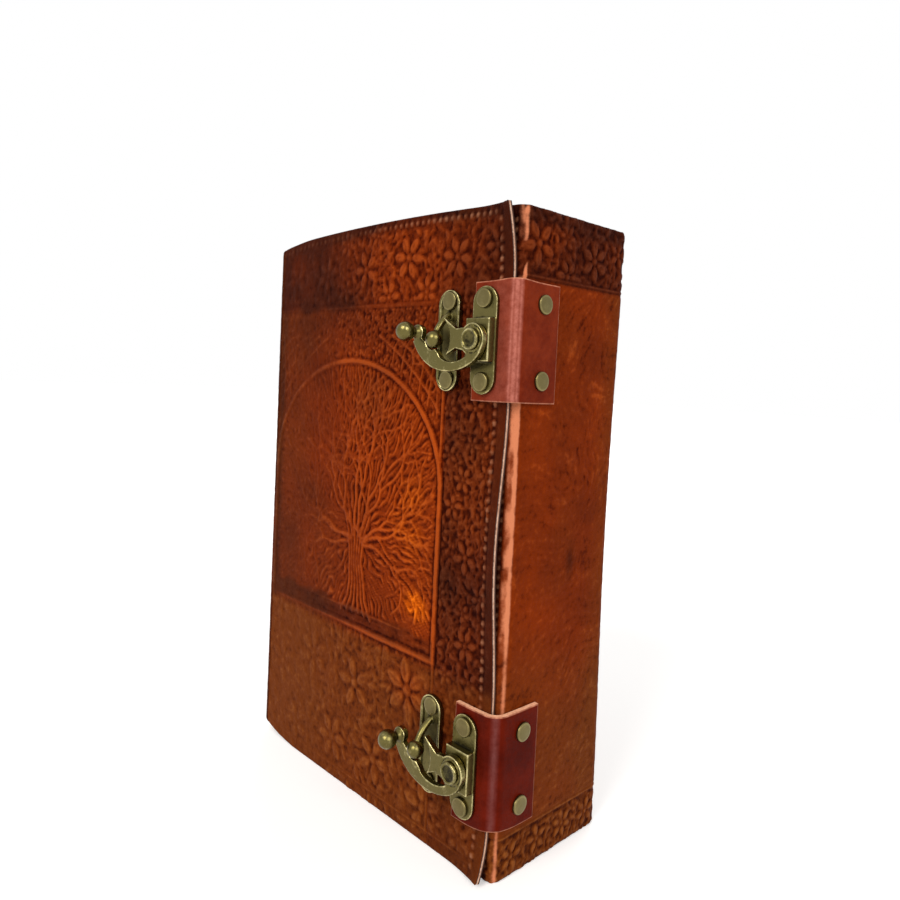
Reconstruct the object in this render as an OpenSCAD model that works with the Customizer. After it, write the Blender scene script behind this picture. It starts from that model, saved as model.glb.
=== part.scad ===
// Embossed leather journal with a wrap-around fore-edge flap and two swing clasps.
// It stands upright on its lower edges. The front cover faces -Y, the spine is at -X.
// Millimetres.

/* [Cover] */
// Height of the leather cover
cover_h = 258; // [220:1:300]
// Width of the closed journal from the spine to the fore-edge flap
cover_w = 170; // [150:1:210]
// Thickness of the closed journal over both covers
cover_t = 70; // [54:1:90]
// Thickness of the cover leather
leather_t = 2.5; // [2:0.1:3.2]
// Outer radius of the leather where it folds round the pages
fold_r = 6; // [4:0.5:9]
// Outer radius of the fold between the flap and its lip
lip_fold_r = 5; // [4:0.5:7]
// Reach of the flap's lip under the front cover, from the flap's face
lip_reach = 26; // [16:1:30]
// Room between the lip and the inside of the front cover
lip_gap = 0.3; // [0.2:0.1:1]
// Distance from the flap's face back to the cut edge of the front cover
edge_back = 3; // [2:0.5:5]
// Height that the head of the cover bows up between its corners
head_bow = 1.8; // [0:0.2:4]
// Extra dip of the leather at the head of the spine
spine_dip_head = 4.5; // [0:0.5:8]
// Rise of the leather at the foot of the spine
spine_dip_foot = 6; // [0:0.5:8]

/* [Curl of the cut edge] */
// Width of the front cover that curls along its cut edge
curl_w = 22; // [18:1:24]
// How far the two corners of the cut edge curl out
corner_curl = 4.7; // [0:0.1:7]
// How far the cut edge bulges out between the tabs
edge_bulge = 3.2; // [0:0.1:5]
// Rise of the curled lower corner
corner_rise = 2; // [0:0.5:3]

/* [Embossing] */
// Depth of the embossed ground below the raised work
relief_h = 0.8; // [0.4:0.1:1.2]
// Width of the raised border between the fields
frame_w = 3; // [2:0.5:5]
// Distance of the fields from the head and foot of the cover
margin = 10; // [8:1:16]
// Height of the flowered bands at the head and the foot
band_h = 14; // [12:1:20]
// Distance from the fore-edge of the front cover to its fields
strip_w = 33; // [31:1:40]
// Half width of the arched panel
arch_a = 51; // [44:1:56]
// Height of the arch above its springing line
arch_rise = 64; // [50:1:70]
// Height of the springing line above the foot of the cover
arch_spring = 133; // [120:1:140]
// Height of the foot of the arched panel above the foot of the cover
arch_foot = 75; // [68:1:82]
// Length of the tree's trunk
trunk_l = 27; // [20:1:30]
// Width of the tree's trunk at its foot
trunk_w = 9; // [6:0.5:12]
// Length of each branch as a share of the one that carries it
branch_ratio = 0.76; // [0.6:0.02:0.8]

/* [Pages] */
// Distance of the pages from the head and foot of the cover
square = 4; // [3:0.5:4]
// Distance of the pages from the inside of the flap
fore_gap = 2; // [1.5:0.5:4]
// Depth of the grooves between the sections at the head and foot
groove_d = 0.9; // [0.5:0.1:1.2]
// How unevenly the sections' heads and feet stand
uneven = 0.6; // [0:0.1:1]
// Number of sewn sections
sections = 8; // [5:1:12]
// Room between the pages and the leather round them
page_gap = 0.3; // [0.2:0.1:0.5]

/* [Sewing] */
// Diameter of the waxed thread
thread_d = 1.1; // [0.8:0.1:1.5]
// Length of each long stitch on the spine
stitch_l = 40; // [30:1:46]
// Distance between the starts of neighbouring stitches
stitch_pitch = 52; // [48:1:58]
// Number of long stitches in each section
stitches = 4; // [2:1:4]

/* [Tabs] */
// Height of each clasp tab
tab_h = 46; // [44:1:56]
// Reach of each tab over the front cover, from the flap's face
tab_front = 19.5; // [19:0.5:24]
// Reach of each tab along the flap, from the front cover's face
tab_side = 22; // [18:0.5:26]
// Thickness of the tab leather
tab_t = 2.2; // [2:0.1:3]
// Distance of the tab's rivets from the front cover's face
tab_rivet_in = 13; // [12:0.5:14]
// Distance between the two rivets of each tab on the flap
tab_rivet_pitch = 28.5; // [26:0.5:32]

/* [Rivets] */
// Diameter of every rivet's head
head_d = 7.4; // [6:0.1:7.8]
// Height of every rivet's head
head_h = 1.2; // [0.8:0.1:1.4]
// Diameter of every rivet's shank
shank_d = 3; // [2.4:0.1:3.4]
// Diameter of the clinched tail inside the leather
tail_d = 5.4; // [4.6:0.1:6]
// Height of the clinched tail
tail_h = 0.8; // [0.5:0.1:1]
// Clearance round a rivet or a pivot in its hole
pin_clear = 0.05; // [0.02:0.01:0.08]

/* [Clasps] */
// Distance of the upper clasp's pivot below the head of the cover
clasp_from_head = 52; // [48:1:60]
// Distance of the lower clasp's pivot above the foot of the cover
clasp_from_foot = 44; // [43:1:60]
// Distance of the pivots from the flap's face
pivot_in = 12.5; // [12:0.1:12.8]
// Distance from a pivot to the ball that its hook holds
catch_reach = 21.6; // [21:0.1:23]
// Distance between the two rivets of each plate
rivet_pitch = 31; // [30:0.5:32]
// Width of each riveted plate
plate_w = 12.4; // [12:0.1:12.8]
// Thickness of the hinge plate
hinge_plate_t = 1.6; // [1.2:0.1:2]
// Height of the block that carries the pivot
block_h = 3.5; // [3:0.1:4.5]
// Length of the block that carries the pivot
block_l = 16; // [14:0.5:18]
// Thickness of the catch plate's floor
catch_t = 1.2; // [1:0.1:1.6]
// Height of the rim round the catch plate
rim_h = 0.8; // [0.5:0.1:1]
// Width of the rim round the catch plate
rim_w = 1.3; // [1:0.1:1.6]
// Gap between the swinging hook and the faces on each side of it
run_gap = 0.3; // [0.2:0.05:0.4]
// Diameter of the pivot
pivot_d = 4; // [3:0.1:5]
// Diameter of the pivot's head
pivot_head_d = 8.4; // [7:0.1:9]
// Height of the pivot's head
pivot_head_h = 1.3; // [1:0.1:1.8]
// Thickness of the hook
hook_t = 2.5; // [2:0.1:3]
// Radius of the hook round its pivot
hub_r = 6; // [5.5:0.1:6.2]
// Diameter of the catch's ball
ball_d = 7; // [6:0.1:7.2]
// Diameter of the catch's swan neck
neck_d = 2.8; // [2.4:0.1:3.2]
// Slope at which the swan neck enters the ball
neck_slope = 20; // [12:1:28]
// Clearance between the ball and the hook that cradles it
cradle_gap = 0.5; // [0.3:0.1:0.7]
// Diameter of the hook's thumb ball
thumb_d = 7.7; // [6:0.1:8]
// Height of the thumb ball's middle above the middle of the hook
thumb_rise = 7; // [6:0.1:9]
// Distance from the pivot to the thumb ball
thumb_reach = 30.8; // [30:0.1:32]

/* [Hidden] */
$fn = 48;

leather_brown = [0.45, 0.19, 0.08];
tab_red = [0.42, 0.13, 0.10];
brass = [0.62, 0.54, 0.32];
paper = [0.93, 0.88, 0.76];
thread_cream = [0.80, 0.72, 0.55];

half_w = cover_w / 2;
half_t = cover_t / 2;
lip_y = -half_t + leather_t + lip_gap;
edge_x = half_w - edge_back;
curl_x = edge_x - curl_w;
upper_z = cover_h - clasp_from_head;
lower_z = clasp_from_foot;
pivot_x = half_w - pivot_in;
catch_x = pivot_x - catch_reach;
tab_rivet_y = -half_t + tab_rivet_in;
// The tab turns just clear of the front cover's cut edge
tab_r = edge_back;

// Distances out from the front cover's face
block_top = tab_t + hinge_plate_t + block_h;
hook_back = block_top + run_gap;
hook_mid = hook_back + hook_t / 2;
hook_front = hook_back + hook_t;
head_back = hook_front + run_gap;
thumb_mid = hook_mid + thumb_rise;

// The frame's origin is at the middle of the whole outline, on the floor
reach_front = thumb_mid + thumb_d / 2;
reach_side = tab_t + head_h;
reach_spine = thread_d;
shift_x = (reach_spine - reach_side) / 2;
shift_y = reach_front / 2;

function square_of(x) = x * x;
function mix(a, b, t) = a + (b - a) * t;

// Head and foot of the cover at each distance from its middle: a long bow, dipped at the spine
bow_x = 15;
dip_x = -50;
dip_span = half_w + dip_x;
function spine_part(x) = square_of(max(0, (dip_x - x) / dip_span));
function head_z(x) = cover_h - head_bow * square_of((x - bow_x) / (half_w - bow_x))
    - (spine_dip_head - head_bow) * spine_part(x);
function foot_z(x) = spine_dip_foot * spine_part(x);

outline_steps = 32;
curl_cols = 8;
over = 1;
// The outline breaks where the curled strip's columns stand, so that both meet on one line
outline_xs = concat(
    [for (i = [0:outline_steps]) -half_w - over + (curl_x + half_w + over) * i / outline_steps],
    [for (i = [1:curl_cols]) curl_x + curl_w * i / curl_cols],
    [half_w + over]);
module cover_outline() {
    polygon(concat([for (x = outline_xs) [x, foot_z(x)]],
        [for (i = [len(outline_xs) - 1:-1:0]) [outline_xs[i], head_z(outline_xs[i])]]));
}

// A quarter of a ring, its corner at the origin of the quadrant given by sx and sy
module bend(x, y, sx, sy, r) {
    translate([x, y])
    intersection() {
        difference() {
            circle(r);
            circle(r - leather_t);
        }
        translate([sx > 0 ? 0 : -r - 1, sy > 0 ? 0 : -r - 1]) square(r + 1);
    }
}

module strip_2d(x0, y0, x1, y1) {
    translate([x0, y0]) square([x1 - x0, y1 - y0]);
}

// The sheet of leather seen from above: front, spine, back, flap and tucked lip
module sheet_2d() {
    strip_2d(-half_w + fold_r, -half_t, curl_x, -half_t + leather_t);
    bend(-half_w + fold_r, -half_t + fold_r, -1, -1, fold_r);
    strip_2d(-half_w, -half_t + fold_r, -half_w + leather_t, half_t - fold_r);
    bend(-half_w + fold_r, half_t - fold_r, -1, 1, fold_r);
    strip_2d(-half_w + fold_r, half_t - leather_t, half_w - fold_r, half_t);
    bend(half_w - fold_r, half_t - fold_r, 1, 1, fold_r);
    strip_2d(half_w - leather_t, lip_y + lip_fold_r, half_w, half_t - fold_r);
    bend(half_w - lip_fold_r, lip_y + lip_fold_r, 1, -1, lip_fold_r);
    strip_2d(half_w - lip_reach, lip_y, half_w - lip_fold_r, lip_y + leather_t);
}

// The tabs hold the cut edge flat between these heights
hold = 1;
low0 = lower_z - tab_h / 2 - hold;
low1 = lower_z + tab_h / 2 + hold;
top0 = upper_z - tab_h / 2 - hold;
top1 = upper_z + tab_h / 2 + hold;

// Stand of the cut edge away from the pages: none at both tabs, curled at the corners and
// bulged between the tabs
function edge_stand(z) =
    z > top1 ? corner_curl * pow((z - top1) / (head_z(edge_x) - top1), 1.8)
    : z > top0 ? 0
    : z > low1 ? edge_bulge * square_of(sin(180 * (z - low1) / (top0 - low1)))
    : z > low0 ? 0
    : corner_curl * pow((low0 - z) / low0, 1.8);
function curl_foot(s) = corner_rise * square_of(s);

// Rows of the curled strip: each is a stretch between two stops and a share of the way along it
row_steps = [5, 1, 14, 1, 5];
row_marks = concat([for (part = [0:4], k = [0:row_steps[part] - 1]) [part, k / row_steps[part]]], [[4, 1]]);
function row_z(mark, x, s) = let (stops = [curl_foot(s), low0, low1, top0, top1, head_z(x)])
    mix(stops[mark[0]], stops[mark[0] + 1], mark[1]);

// The strip of the front cover along its cut edge, a grid of points for each face
module curled_strip() {
    cols = curl_cols + 1;
    last = len(row_marks) - 1;
    layer = cols * (last + 1);
    points = [for (side = [0, 1], mark = row_marks, i = [0:curl_cols])
        let (s = i / curl_cols, x = curl_x + s * curl_w, z = row_z(mark, x, s))
        [x, -half_t + side * leather_t - square_of(s) * edge_stand(z), z]];
    function at(side, i, j) = side * layer + j * cols + i;
    faces = concat(
        [for (j = [0:last - 1], i = [0:curl_cols - 1], k = [0, 1])
            k == 0 ? [at(0, i, j), at(0, i, j + 1), at(0, i + 1, j)]
            : [at(0, i + 1, j), at(0, i, j + 1), at(0, i + 1, j + 1)]],
        [for (j = [0:last - 1], i = [0:curl_cols - 1], k = [0, 1])
            k == 0 ? [at(1, i, j), at(1, i + 1, j), at(1, i, j + 1)]
            : [at(1, i + 1, j), at(1, i + 1, j + 1), at(1, i, j + 1)]],
        [for (j = [0:last - 1], i = [0, curl_cols], k = [0, 1])
            let (a = at(0, i, j), b = at(0, i, j + 1), c = at(1, i, j), d = at(1, i, j + 1))
            i == 0 ? (k == 0 ? [a, c, b] : [b, c, d]) : (k == 0 ? [a, b, c] : [b, d, c])],
        [for (i = [0:curl_cols - 1], j = [0, last], k = [0, 1])
            let (a = at(0, i, j), b = at(0, i + 1, j), c = at(1, i, j), d = at(1, i + 1, j))
            j == 0 ? (k == 0 ? [a, b, c] : [b, d, c]) : (k == 0 ? [a, c, b] : [b, c, d])]);
    polyhedron(points, faces, convexity = 6);
}

// Flat shapes of the embossing

function curve_at(a, b, c, t) = mix(mix(a, b, t), mix(b, c, t), t);
function curve_dir(a, b, c, t) = mix(b - a, c - b, t);
function side_of(v) = [-v[1], v[0]] / norm(v);

stroke_steps = 4;
// A curved stroke through three guide points that tapers from w0 to w1
module stroke(a, b, c, w0, w1) {
    left = [for (i = [0:stroke_steps]) let (t = i / stroke_steps)
        curve_at(a, b, c, t) + side_of(curve_dir(a, b, c, t)) * mix(w0, w1, t) / 2];
    right = [for (i = [stroke_steps:-1:0]) let (t = i / stroke_steps)
        curve_at(a, b, c, t) - side_of(curve_dir(a, b, c, t)) * mix(w0, w1, t) / 2];
    polygon(concat(left, right));
}

function toward(a, length) = [cos(a), sin(a)] * length;

bend_angle = 14;
// One branch and the two that grow from its end, each turned outward
module branch(p, a, length, w, level) {
    lean = a > 90 ? bend_angle : -bend_angle;
    guide = p + toward(a - lean, length / 2);
    tip = guide + toward(a + lean / 2, length / 2);
    w_end = w * 0.62;
    stroke(p, guide, tip, w, w_end);
    if (level > 0)
        for (turn = [-25, 25])
            branch(tip, a + turn + lean / 4, length * branch_ratio, w_end * 0.9, level - 1);
}

limb_l = 25;
limb_angles = [140, 112, 84, 62, 36];
root_angles = [195, 222, 255, 288, 318, 345];
module tree() {
    foot = [-2, arch_foot + 15];
    fork = foot + [1, trunk_l];
    stroke(foot, foot + [-1, trunk_l / 2], fork, trunk_w, trunk_w * 0.7);
    for (a = root_angles)
        stroke(foot + [0, 2], foot + toward(a, 7), foot + toward(a, 13) + [0, 3], trunk_w * 0.5, 0.8);
    for (a = limb_angles)
        branch(fork - [0, 3], a, limb_l, trunk_w * 0.45, 2);
}

arch_steps = 20;
arch_x = -3;
// The arched panel, a box under half an ellipse
module arch_2d(grow) {
    rim = [for (i = [0:arch_steps]) let (a = 180 * i / arch_steps)
        [arch_x + (arch_a + grow) * cos(a), arch_spring + (arch_rise + grow) * sin(a)]];
    polygon(concat([[arch_x + arch_a + grow, arch_foot - grow]], rim,
        [[arch_x - arch_a - grow, arch_foot - grow]]));
}

module leaf_2d(length, width) {
    r = (square_of(length) + square_of(width)) / (4 * width);
    intersection() {
        translate([length / 2, r - width / 2]) circle(r);
        translate([length / 2, width / 2 - r]) circle(r);
    }
}

module ring_2d(r, w) {
    difference() {
        circle(r);
        circle(r - w);
    }
}

// A blossom of round petals about an eye
module rosette(r, petals) {
    petal_r = r * 0.42;
    for (i = [0:petals - 1])
        rotate(360 * i / petals) translate([r - petal_r, 0]) circle(petal_r, $fn = 20);
    circle(r * 0.3, $fn = 20);
}

// Blossoms and leaf pairs set in a row along a band
module flower_row(x0, x1, y, r) {
    count = max(1, floor((x1 - x0) / (r * 4.2)));
    pitch = (x1 - x0) / count;
    for (i = [0:count - 1])
        translate([x0 + pitch * (i + 0.5), y]) {
            rosette(r, 5);
            for (s = [0, 180])
                rotate(s) translate([r * 1.25, 0]) leaf_2d(r * 0.95, r * 0.6);
        }
}

// Two interlaced rings with a small one between them
module knot(r) {
    w = r * 0.24;
    for (a = [0, 90])
        rotate(a + 45) translate([r * 0.45, 0]) ring_2d(r, w);
    for (a = [180, 270])
        rotate(a + 45) translate([r * 0.45, 0]) ring_2d(r, w);
}

// Large open flower with leaves, for the lower panel
module bloom(r) {
    for (i = [0:7])
        rotate(45 * i) translate([r * 0.25, 0]) leaf_2d(r * 0.75, r * 0.34);
    ring_2d(r * 0.3, r * 0.1);
}

field_x0 = -half_w + fold_r + 3;
field_x1 = half_w - strip_w - frame_w;
band_top1 = cover_h - margin;
band_top0 = band_top1 - band_h;
field_top = band_top0 - frame_w;
low_top = arch_foot - 2 * frame_w;

module spandrel_field() {
    difference() {
        strip_2d(field_x0, arch_spring - 20, field_x1, field_top);
        arch_2d(frame_w);
        knot_r = 8;
        for (x = [field_x0 + 13, field_x1 - 13])
            translate([x, field_top - 14]) knot(knot_r);
        for (x = [field_x0 + 34, field_x1 - 34])
            translate([x, field_top - 8]) rosette(5, 6);
        for (x = [field_x0 + 6, field_x1 - 6])
            translate([x, field_top - 36]) rosette(4, 5);
    }
}

module arch_field() {
    difference() {
        arch_2d(0);
        tree();
    }
}

module low_field() {
    mid_y = (margin + low_top) / 2;
    mid_x = (field_x0 + field_x1) / 2;
    difference() {
        strip_2d(field_x0, margin, field_x1, low_top);
        for (s = [-1, 0, 1])
            translate([mid_x + s * 43, mid_y]) bloom(s == 0 ? 24 : 20);
        for (s = [-1, 1], t = [-1, 1])
            translate([mid_x + s * 22, mid_y + t * 20]) rosette(5.5, 5);
    }
}

module band_field(x0, x1, y0, y1, r) {
    difference() {
        strip_2d(x0, y0, x1, y1);
        flower_row(x0, x1, (y0 + y1) / 2, r);
    }
}

blossom_r = 5;
module front_fields() {
    arch_field();
    spandrel_field();
    low_field();
    band_field(field_x0, field_x1, band_top0, band_top1, blossom_r);
}

tab_margin = 2.5;
fold_margin = 3;
// The flap's foot band starts beside the lower tab, its head band at the fold
module side_fields() {
    y1 = half_t - fold_r - fold_margin;
    band_field(-half_t + tab_side + tab_margin, y1, margin, margin + band_h, blossom_r);
    band_field(lip_y + lip_fold_r + fold_margin, y1, band_top0, band_top1, blossom_r);
}

back_margin = 18;
back_x = half_w - back_margin;
module back_fields() {
    for (z = [margin, cover_h - margin - band_h])
        band_field(-back_x, back_x, z, z + band_h, blossom_r);
    difference() {
        strip_2d(-back_x, margin + band_h + frame_w, back_x, cover_h - margin - band_h - frame_w);
        strip_2d(-back_x + frame_w, margin + band_h + 2 * frame_w, back_x - frame_w,
            cover_h - margin - band_h - 2 * frame_w);
    }
}

// Presses a flat pattern into the leather from its outer face; turn is 0 for the front,
// 90 for the flap, 180 for the back and -90 for the spine
module press(turn, face) {
    rotate([0, 0, turn]) translate([0, -face + relief_h, 0])
        rotate([90, 0, 0]) linear_extrude(relief_h + 1) children();
}

module hole_y(x, z, y0, y1, d) {
    translate([x, y1, z]) rotate([90, 0, 0]) cylinder(h = y1 - y0, d = d);
}

module hole_x(y, z, x0, x1, d) {
    translate([x0, y, z]) rotate([0, 90, 0]) cylinder(h = x1 - x0, d = d);
}

hole_d = shank_d + 2 * pin_clear;
module leather_cover() {
    color(leather_brown)
    union() {
        difference() {
            intersection() {
                linear_extrude(cover_h) sheet_2d();
                translate([0, half_t + 1, 0]) rotate([90, 0, 0])
                    linear_extrude(cover_t + 2) cover_outline();
            }
            press(0, half_t) front_fields();
            press(90, half_w) side_fields();
            press(180, half_t) back_fields();
            for (cz = [upper_z, lower_z], s = [-1, 1]) {
                hole_y(catch_x, cz + s * rivet_pitch / 2, -half_t - 1, -half_t + leather_t + 1, hole_d);
                hole_x(tab_rivet_y, cz + s * tab_rivet_pitch / 2, half_w - leather_t - 1, half_w + 1, hole_d);
            }
        }
        curled_strip();
    }
}

spine_in = -half_w + leather_t + page_gap;
fore_in = half_w - leather_t - tail_h - fore_gap;
pages_y0 = -half_t + leather_t + page_gap;
pages_y1 = half_t - leather_t - page_gap;
section_t = (pages_y1 - pages_y0) / sections;
lip_back = lip_y + leather_t + page_gap;
creep_max = 1.5;
// A folded section seen from above, with a round back; it laps into the next
module section_2d(i) {
    lap = i == sections - 1 ? 0 : 0.2;
    r = section_t / 2;
    y = pages_y0 + section_t * (i + 0.5);
    creep = creep_max * sin(180 * (i + 0.5) / sections);
    strip_2d(spine_in + r, y - r, fore_in - creep_max + creep, y + r + lap);
    translate([spine_in + r, y]) circle(r);
}

// Room for the lip, which presses the pages in at the front
module lip_room_2d() {
    slope_l = 28;
    slope_x1 = half_w - lip_reach - 1;
    slope_x0 = slope_x1 - slope_l;
    polygon([[slope_x0, pages_y0 - 1], [slope_x0, pages_y0], [slope_x1, lip_back],
        [half_w, lip_back], [half_w, pages_y0 - 1]]);
}

// Sewn sections of uneven height, with a groove between neighbours at the head and foot
module page_block() {
    pages_z1 = cover_h - square - spine_dip_head;
    turn = 137;
    color(paper)
    difference() {
        for (i = [0:sections - 1]) {
            inset = uneven * (0.5 + 0.5 * sin(turn * i));
            translate([0, 0, square + inset]) linear_extrude(pages_z1 - square - 2 * inset)
                difference() {
                    section_2d(i);
                    lip_room_2d();
                }
        }
        for (i = [1:sections - 1], z = [square, pages_z1])
            translate([0, pages_y0 + section_t * i, z]) rotate([45, 0, 0])
                cube([2 * cover_w, groove_d * sqrt(2), groove_d * sqrt(2)], center = true);
    }
}

// A long stitch: one run along the spine and two ends drawn through it into the fold
module stitch(y, z) {
    x = -half_w - thread_d / 2;
    leg = thread_d / 2 + leather_t + page_gap + 1;
    translate([x, y, z]) {
        cylinder(h = stitch_l, d = thread_d, $fn = 16);
        for (s = [0, 1])
            translate([0, 0, s * stitch_l]) {
                sphere(d = thread_d, $fn = 16);
                rotate([0, 90, 0]) cylinder(h = leg, d = thread_d, $fn = 16);
            }
    }
}

module binding_thread() {
    run = (stitches - 1) * stitch_pitch + stitch_l;
    z0 = (cover_h - run) / 2;
    color(thread_cream)
    for (i = [0:sections - 1], j = [0:stitches - 1])
        stitch(pages_y0 + section_t * (i + 0.5), z0 + j * stitch_pitch);
}

// The tab seen from above, turned round the fore-edge
module tab_2d() {
    x0 = half_w - tab_front;
    y1 = -half_t + tab_side;
    r = tab_r + tab_t;
    difference() {
        union() {
            strip_2d(x0, -half_t - tab_t, half_w - tab_r, -half_t);
            strip_2d(half_w, -half_t + tab_r, half_w + tab_t, y1);
            intersection() {
                translate([half_w - tab_r, -half_t + tab_r]) circle(r);
                strip_2d(half_w - tab_r, -half_t - tab_t, half_w + tab_t, -half_t + tab_r);
            }
        }
        intersection() {
            translate([half_w - tab_r, -half_t + tab_r]) circle(tab_r);
            strip_2d(half_w - tab_r - 0.01, -half_t, half_w, -half_t + tab_r + 0.01);
        }
    }
}

module tab(cz) {
    color(tab_red)
    difference() {
        translate([0, 0, cz - tab_h / 2]) linear_extrude(tab_h) tab_2d();
        for (s = [-1, 1]) {
            z = cz + s * rivet_pitch / 2;
            hole_y(pivot_x, z, -half_t - tab_t - 1, -half_t + 1, hole_d);
            hole_y(pivot_x, z, -half_t - tail_h, -half_t + 1, tail_d + 4 * pin_clear);
            hole_x(tab_rivet_y, cz + s * tab_rivet_pitch / 2, half_w - 1, half_w + tab_t + 1, hole_d);
        }
    }
}

// A rivet along +Z: its head sits on z = 0 and its tail is clinched at -grip
module rivet(grip) {
    chamfer = 0.3;
    color(brass)
    rotate_extrude()
        polygon([[0, -grip - tail_h], [tail_d / 2 - chamfer, -grip - tail_h],
            [tail_d / 2, -grip - tail_h + chamfer], [tail_d / 2, -grip], [shank_d / 2, -grip],
            [shank_d / 2, 0], [head_d / 2, 0], [head_d / 2, head_h - 2 * chamfer],
            [head_d / 2 - 2 * chamfer, head_h], [0, head_h]]);
}

// Puts children on the front cover's face at x and z, +Z pointing out of the cover
module on_front(x, z, out) {
    translate([x, -half_t - out, z]) rotate([90, 0, 0]) children();
}

module on_flap(y, z, out) {
    translate([half_w + out, y, z]) rotate([90, 0, 90]) children();
}

module tab_rivet(cz, s) {
    on_flap(tab_rivet_y, cz + s * tab_rivet_pitch / 2, tab_t) rivet(tab_t + leather_t);
}

module hinge_rivet(cz, s) {
    on_front(pivot_x, cz + s * rivet_pitch / 2, tab_t + hinge_plate_t)
        rivet(tab_t + hinge_plate_t - tail_h);
}

module catch_rivet(cz, s) {
    on_front(catch_x, cz + s * rivet_pitch / 2, catch_t) rivet(catch_t + leather_t);
}

plate_end = rivet_pitch / 2;
end_inset = 1.5;
// A long plate with round ends
module plate_2d(w) {
    for (s = [-1, 1])
        translate([0, s * (plate_end - end_inset)]) circle(d = w);
    square([w, 2 * (plate_end - end_inset)], center = true);
}

block_w = plate_w - 0.4;
module hinge_plate(cz) {
    color(brass)
    on_front(pivot_x, cz, tab_t)
        difference() {
            union() {
                linear_extrude(hinge_plate_t) plate_2d(plate_w);
                translate([-block_w / 2, -block_l / 2, hinge_plate_t - 0.1])
                    cube([block_w, block_l, block_h + 0.1]);
            }
            for (s = [-1, 1])
                translate([0, s * plate_end, -1]) cylinder(h = hinge_plate_t + 2, d = hole_d);
            translate([0, 0, -1]) cylinder(h = block_top + 2, d = pivot_d);
        }
}

// The pivot is clinched in the plate and its ringed head keeps the hook on
module pivot(cz) {
    ring = 0.45;
    color(brass)
    on_front(pivot_x, cz, tab_t)
        rotate_extrude()
            polygon([[0, 0], [pivot_d / 2, 0], [pivot_d / 2, head_back - tab_t],
                [pivot_head_d / 2, head_back - tab_t],
                [pivot_head_d / 2, head_back - tab_t + pivot_head_h - ring],
                [pivot_head_d / 2 - ring, head_back - tab_t + pivot_head_h],
                [pivot_head_d / 2 - 1, head_back - tab_t + pivot_head_h],
                [pivot_head_d / 2 - 1.2, head_back - tab_t + pivot_head_h - ring],
                [0, head_back - tab_t + pivot_head_h - ring]]);
}

function cubic_at(p, t) = let (u = 1 - t)
    u * u * u * p[0] + 3 * u * u * t * p[1] + 3 * u * t * t * p[2] + t * t * t * p[3];

hook_steps = 10;
sweep_low = -12.2;
sweep_mid = [-0.6 * catch_reach, sweep_low];
cradle_end = [4.8 - catch_reach, -7];
hub_edge = [[hub_r - 0.8, -hub_r / 2], [3.2, -9.4], [-6, sweep_low], sweep_mid];
sweep_edge = [sweep_mid, [-catch_reach, sweep_low], [-7 - catch_reach, -8.6], [-2.2 - thumb_reach, -0.8]];
cradle_edge = [[2.2 - thumb_reach, 1], [-4.4 - catch_reach, -2], [0.6 - catch_reach, -1], cradle_end];
inner_edge = [cradle_end, [8.6 - catch_reach, -9.6], [-5, -9], [-1.2, 1.2 - hub_r]];
function edge_points(p) = [for (i = [0:hook_steps]) cubic_at(p, i / hook_steps)];

// The crescent that sweeps from the hub under the ball to the thumb pad
module crescent_2d() {
    polygon(concat(edge_points(hub_edge), edge_points(sweep_edge),
        edge_points(cradle_edge), edge_points(inner_edge)));
}

web_l = 5.6;
// The fishtail's tips stay inside this radius, so that they pass the ball as the hook turns
tip_r = catch_reach - ball_d / 2 - cradle_gap;
tip_high = [-cos(28), sin(28)] * (tip_r - 0.2);
tip_low = [-cos(24), -sin(24)] * (tip_r - 0.2);
// The web that ends in a fishtail, hollowed about the ball
module fishtail_2d() {
    difference() {
        polygon([[-3, 4.4], [-8.5, 3.9], tip_high, tip_low, [-8.5, -3.4], [-3, -4.4]]);
        translate([-catch_reach, 0]) circle(catch_reach - hub_r - web_l);
    }
}

thumb_pad_r = 3.2;
thumb_dir = 175;
module hook_2d() {
    difference() {
        union() {
            circle(hub_r);
            crescent_2d();
            fishtail_2d();
            rotate(thumb_dir) translate([thumb_reach, 0]) circle(thumb_pad_r);
        }
        translate([-catch_reach, 0]) circle(ball_d / 2 + cradle_gap);
        circle(d = pivot_d + 2 * pin_clear);
    }
}

module swing_hook(cz) {
    stem_d = 3.4;
    groove = 0.5;
    color(brass)
    on_front(pivot_x, cz, hook_back) {
        difference() {
            linear_extrude(hook_t) hook_2d();
            translate([0, 0, hook_t - groove])
                linear_extrude(1) ring_2d(hub_r - 0.7, 0.5);
        }
        rotate(thumb_dir) translate([thumb_reach, 0, hook_t - 0.2]) {
            cylinder(h = 1.7, d1 = 2 * thumb_pad_r - 1, d2 = stem_d);
            cylinder(h = thumb_rise - hook_t / 2, d = stem_d);
        }
        rotate(thumb_dir) translate([thumb_reach, 0, thumb_mid - hook_back]) sphere(d = thumb_d);
    }
}

// The swan neck is an arc in the plane across the plate. It stands on the floor just inside
// the upper rivet's head and flattens to its slope where it enters the ball
neck_gap = 0.4;
neck_in = 2;
neck_foot = [plate_end - head_d / 2 - neck_d / 2 - neck_gap, catch_t];
neck_top = [neck_in * cos(neck_slope), hook_mid - neck_in * sin(neck_slope)];
neck_rise = 2 * atan((neck_top[1] - neck_foot[1]) / (neck_foot[0] - neck_top[0])) - neck_slope;
neck_r = (neck_foot[0] - neck_top[0]) / (sin(neck_rise) - sin(neck_slope));
module swan_neck() {
    spare = 10;
    middle = neck_top - neck_r * [sin(neck_slope), cos(neck_slope)];
    intersection() {
        translate([0, middle[0], middle[1]]) rotate([90, 0, 90]) rotate([0, 0, 90 - neck_rise - spare])
            rotate_extrude(angle = neck_rise + spare - neck_slope) translate([neck_r, 0]) circle(d = neck_d);
        translate([-neck_d, 0, catch_t / 2]) cube([2 * neck_d, rivet_pitch, hook_mid + neck_d]);
    }
}

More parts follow.
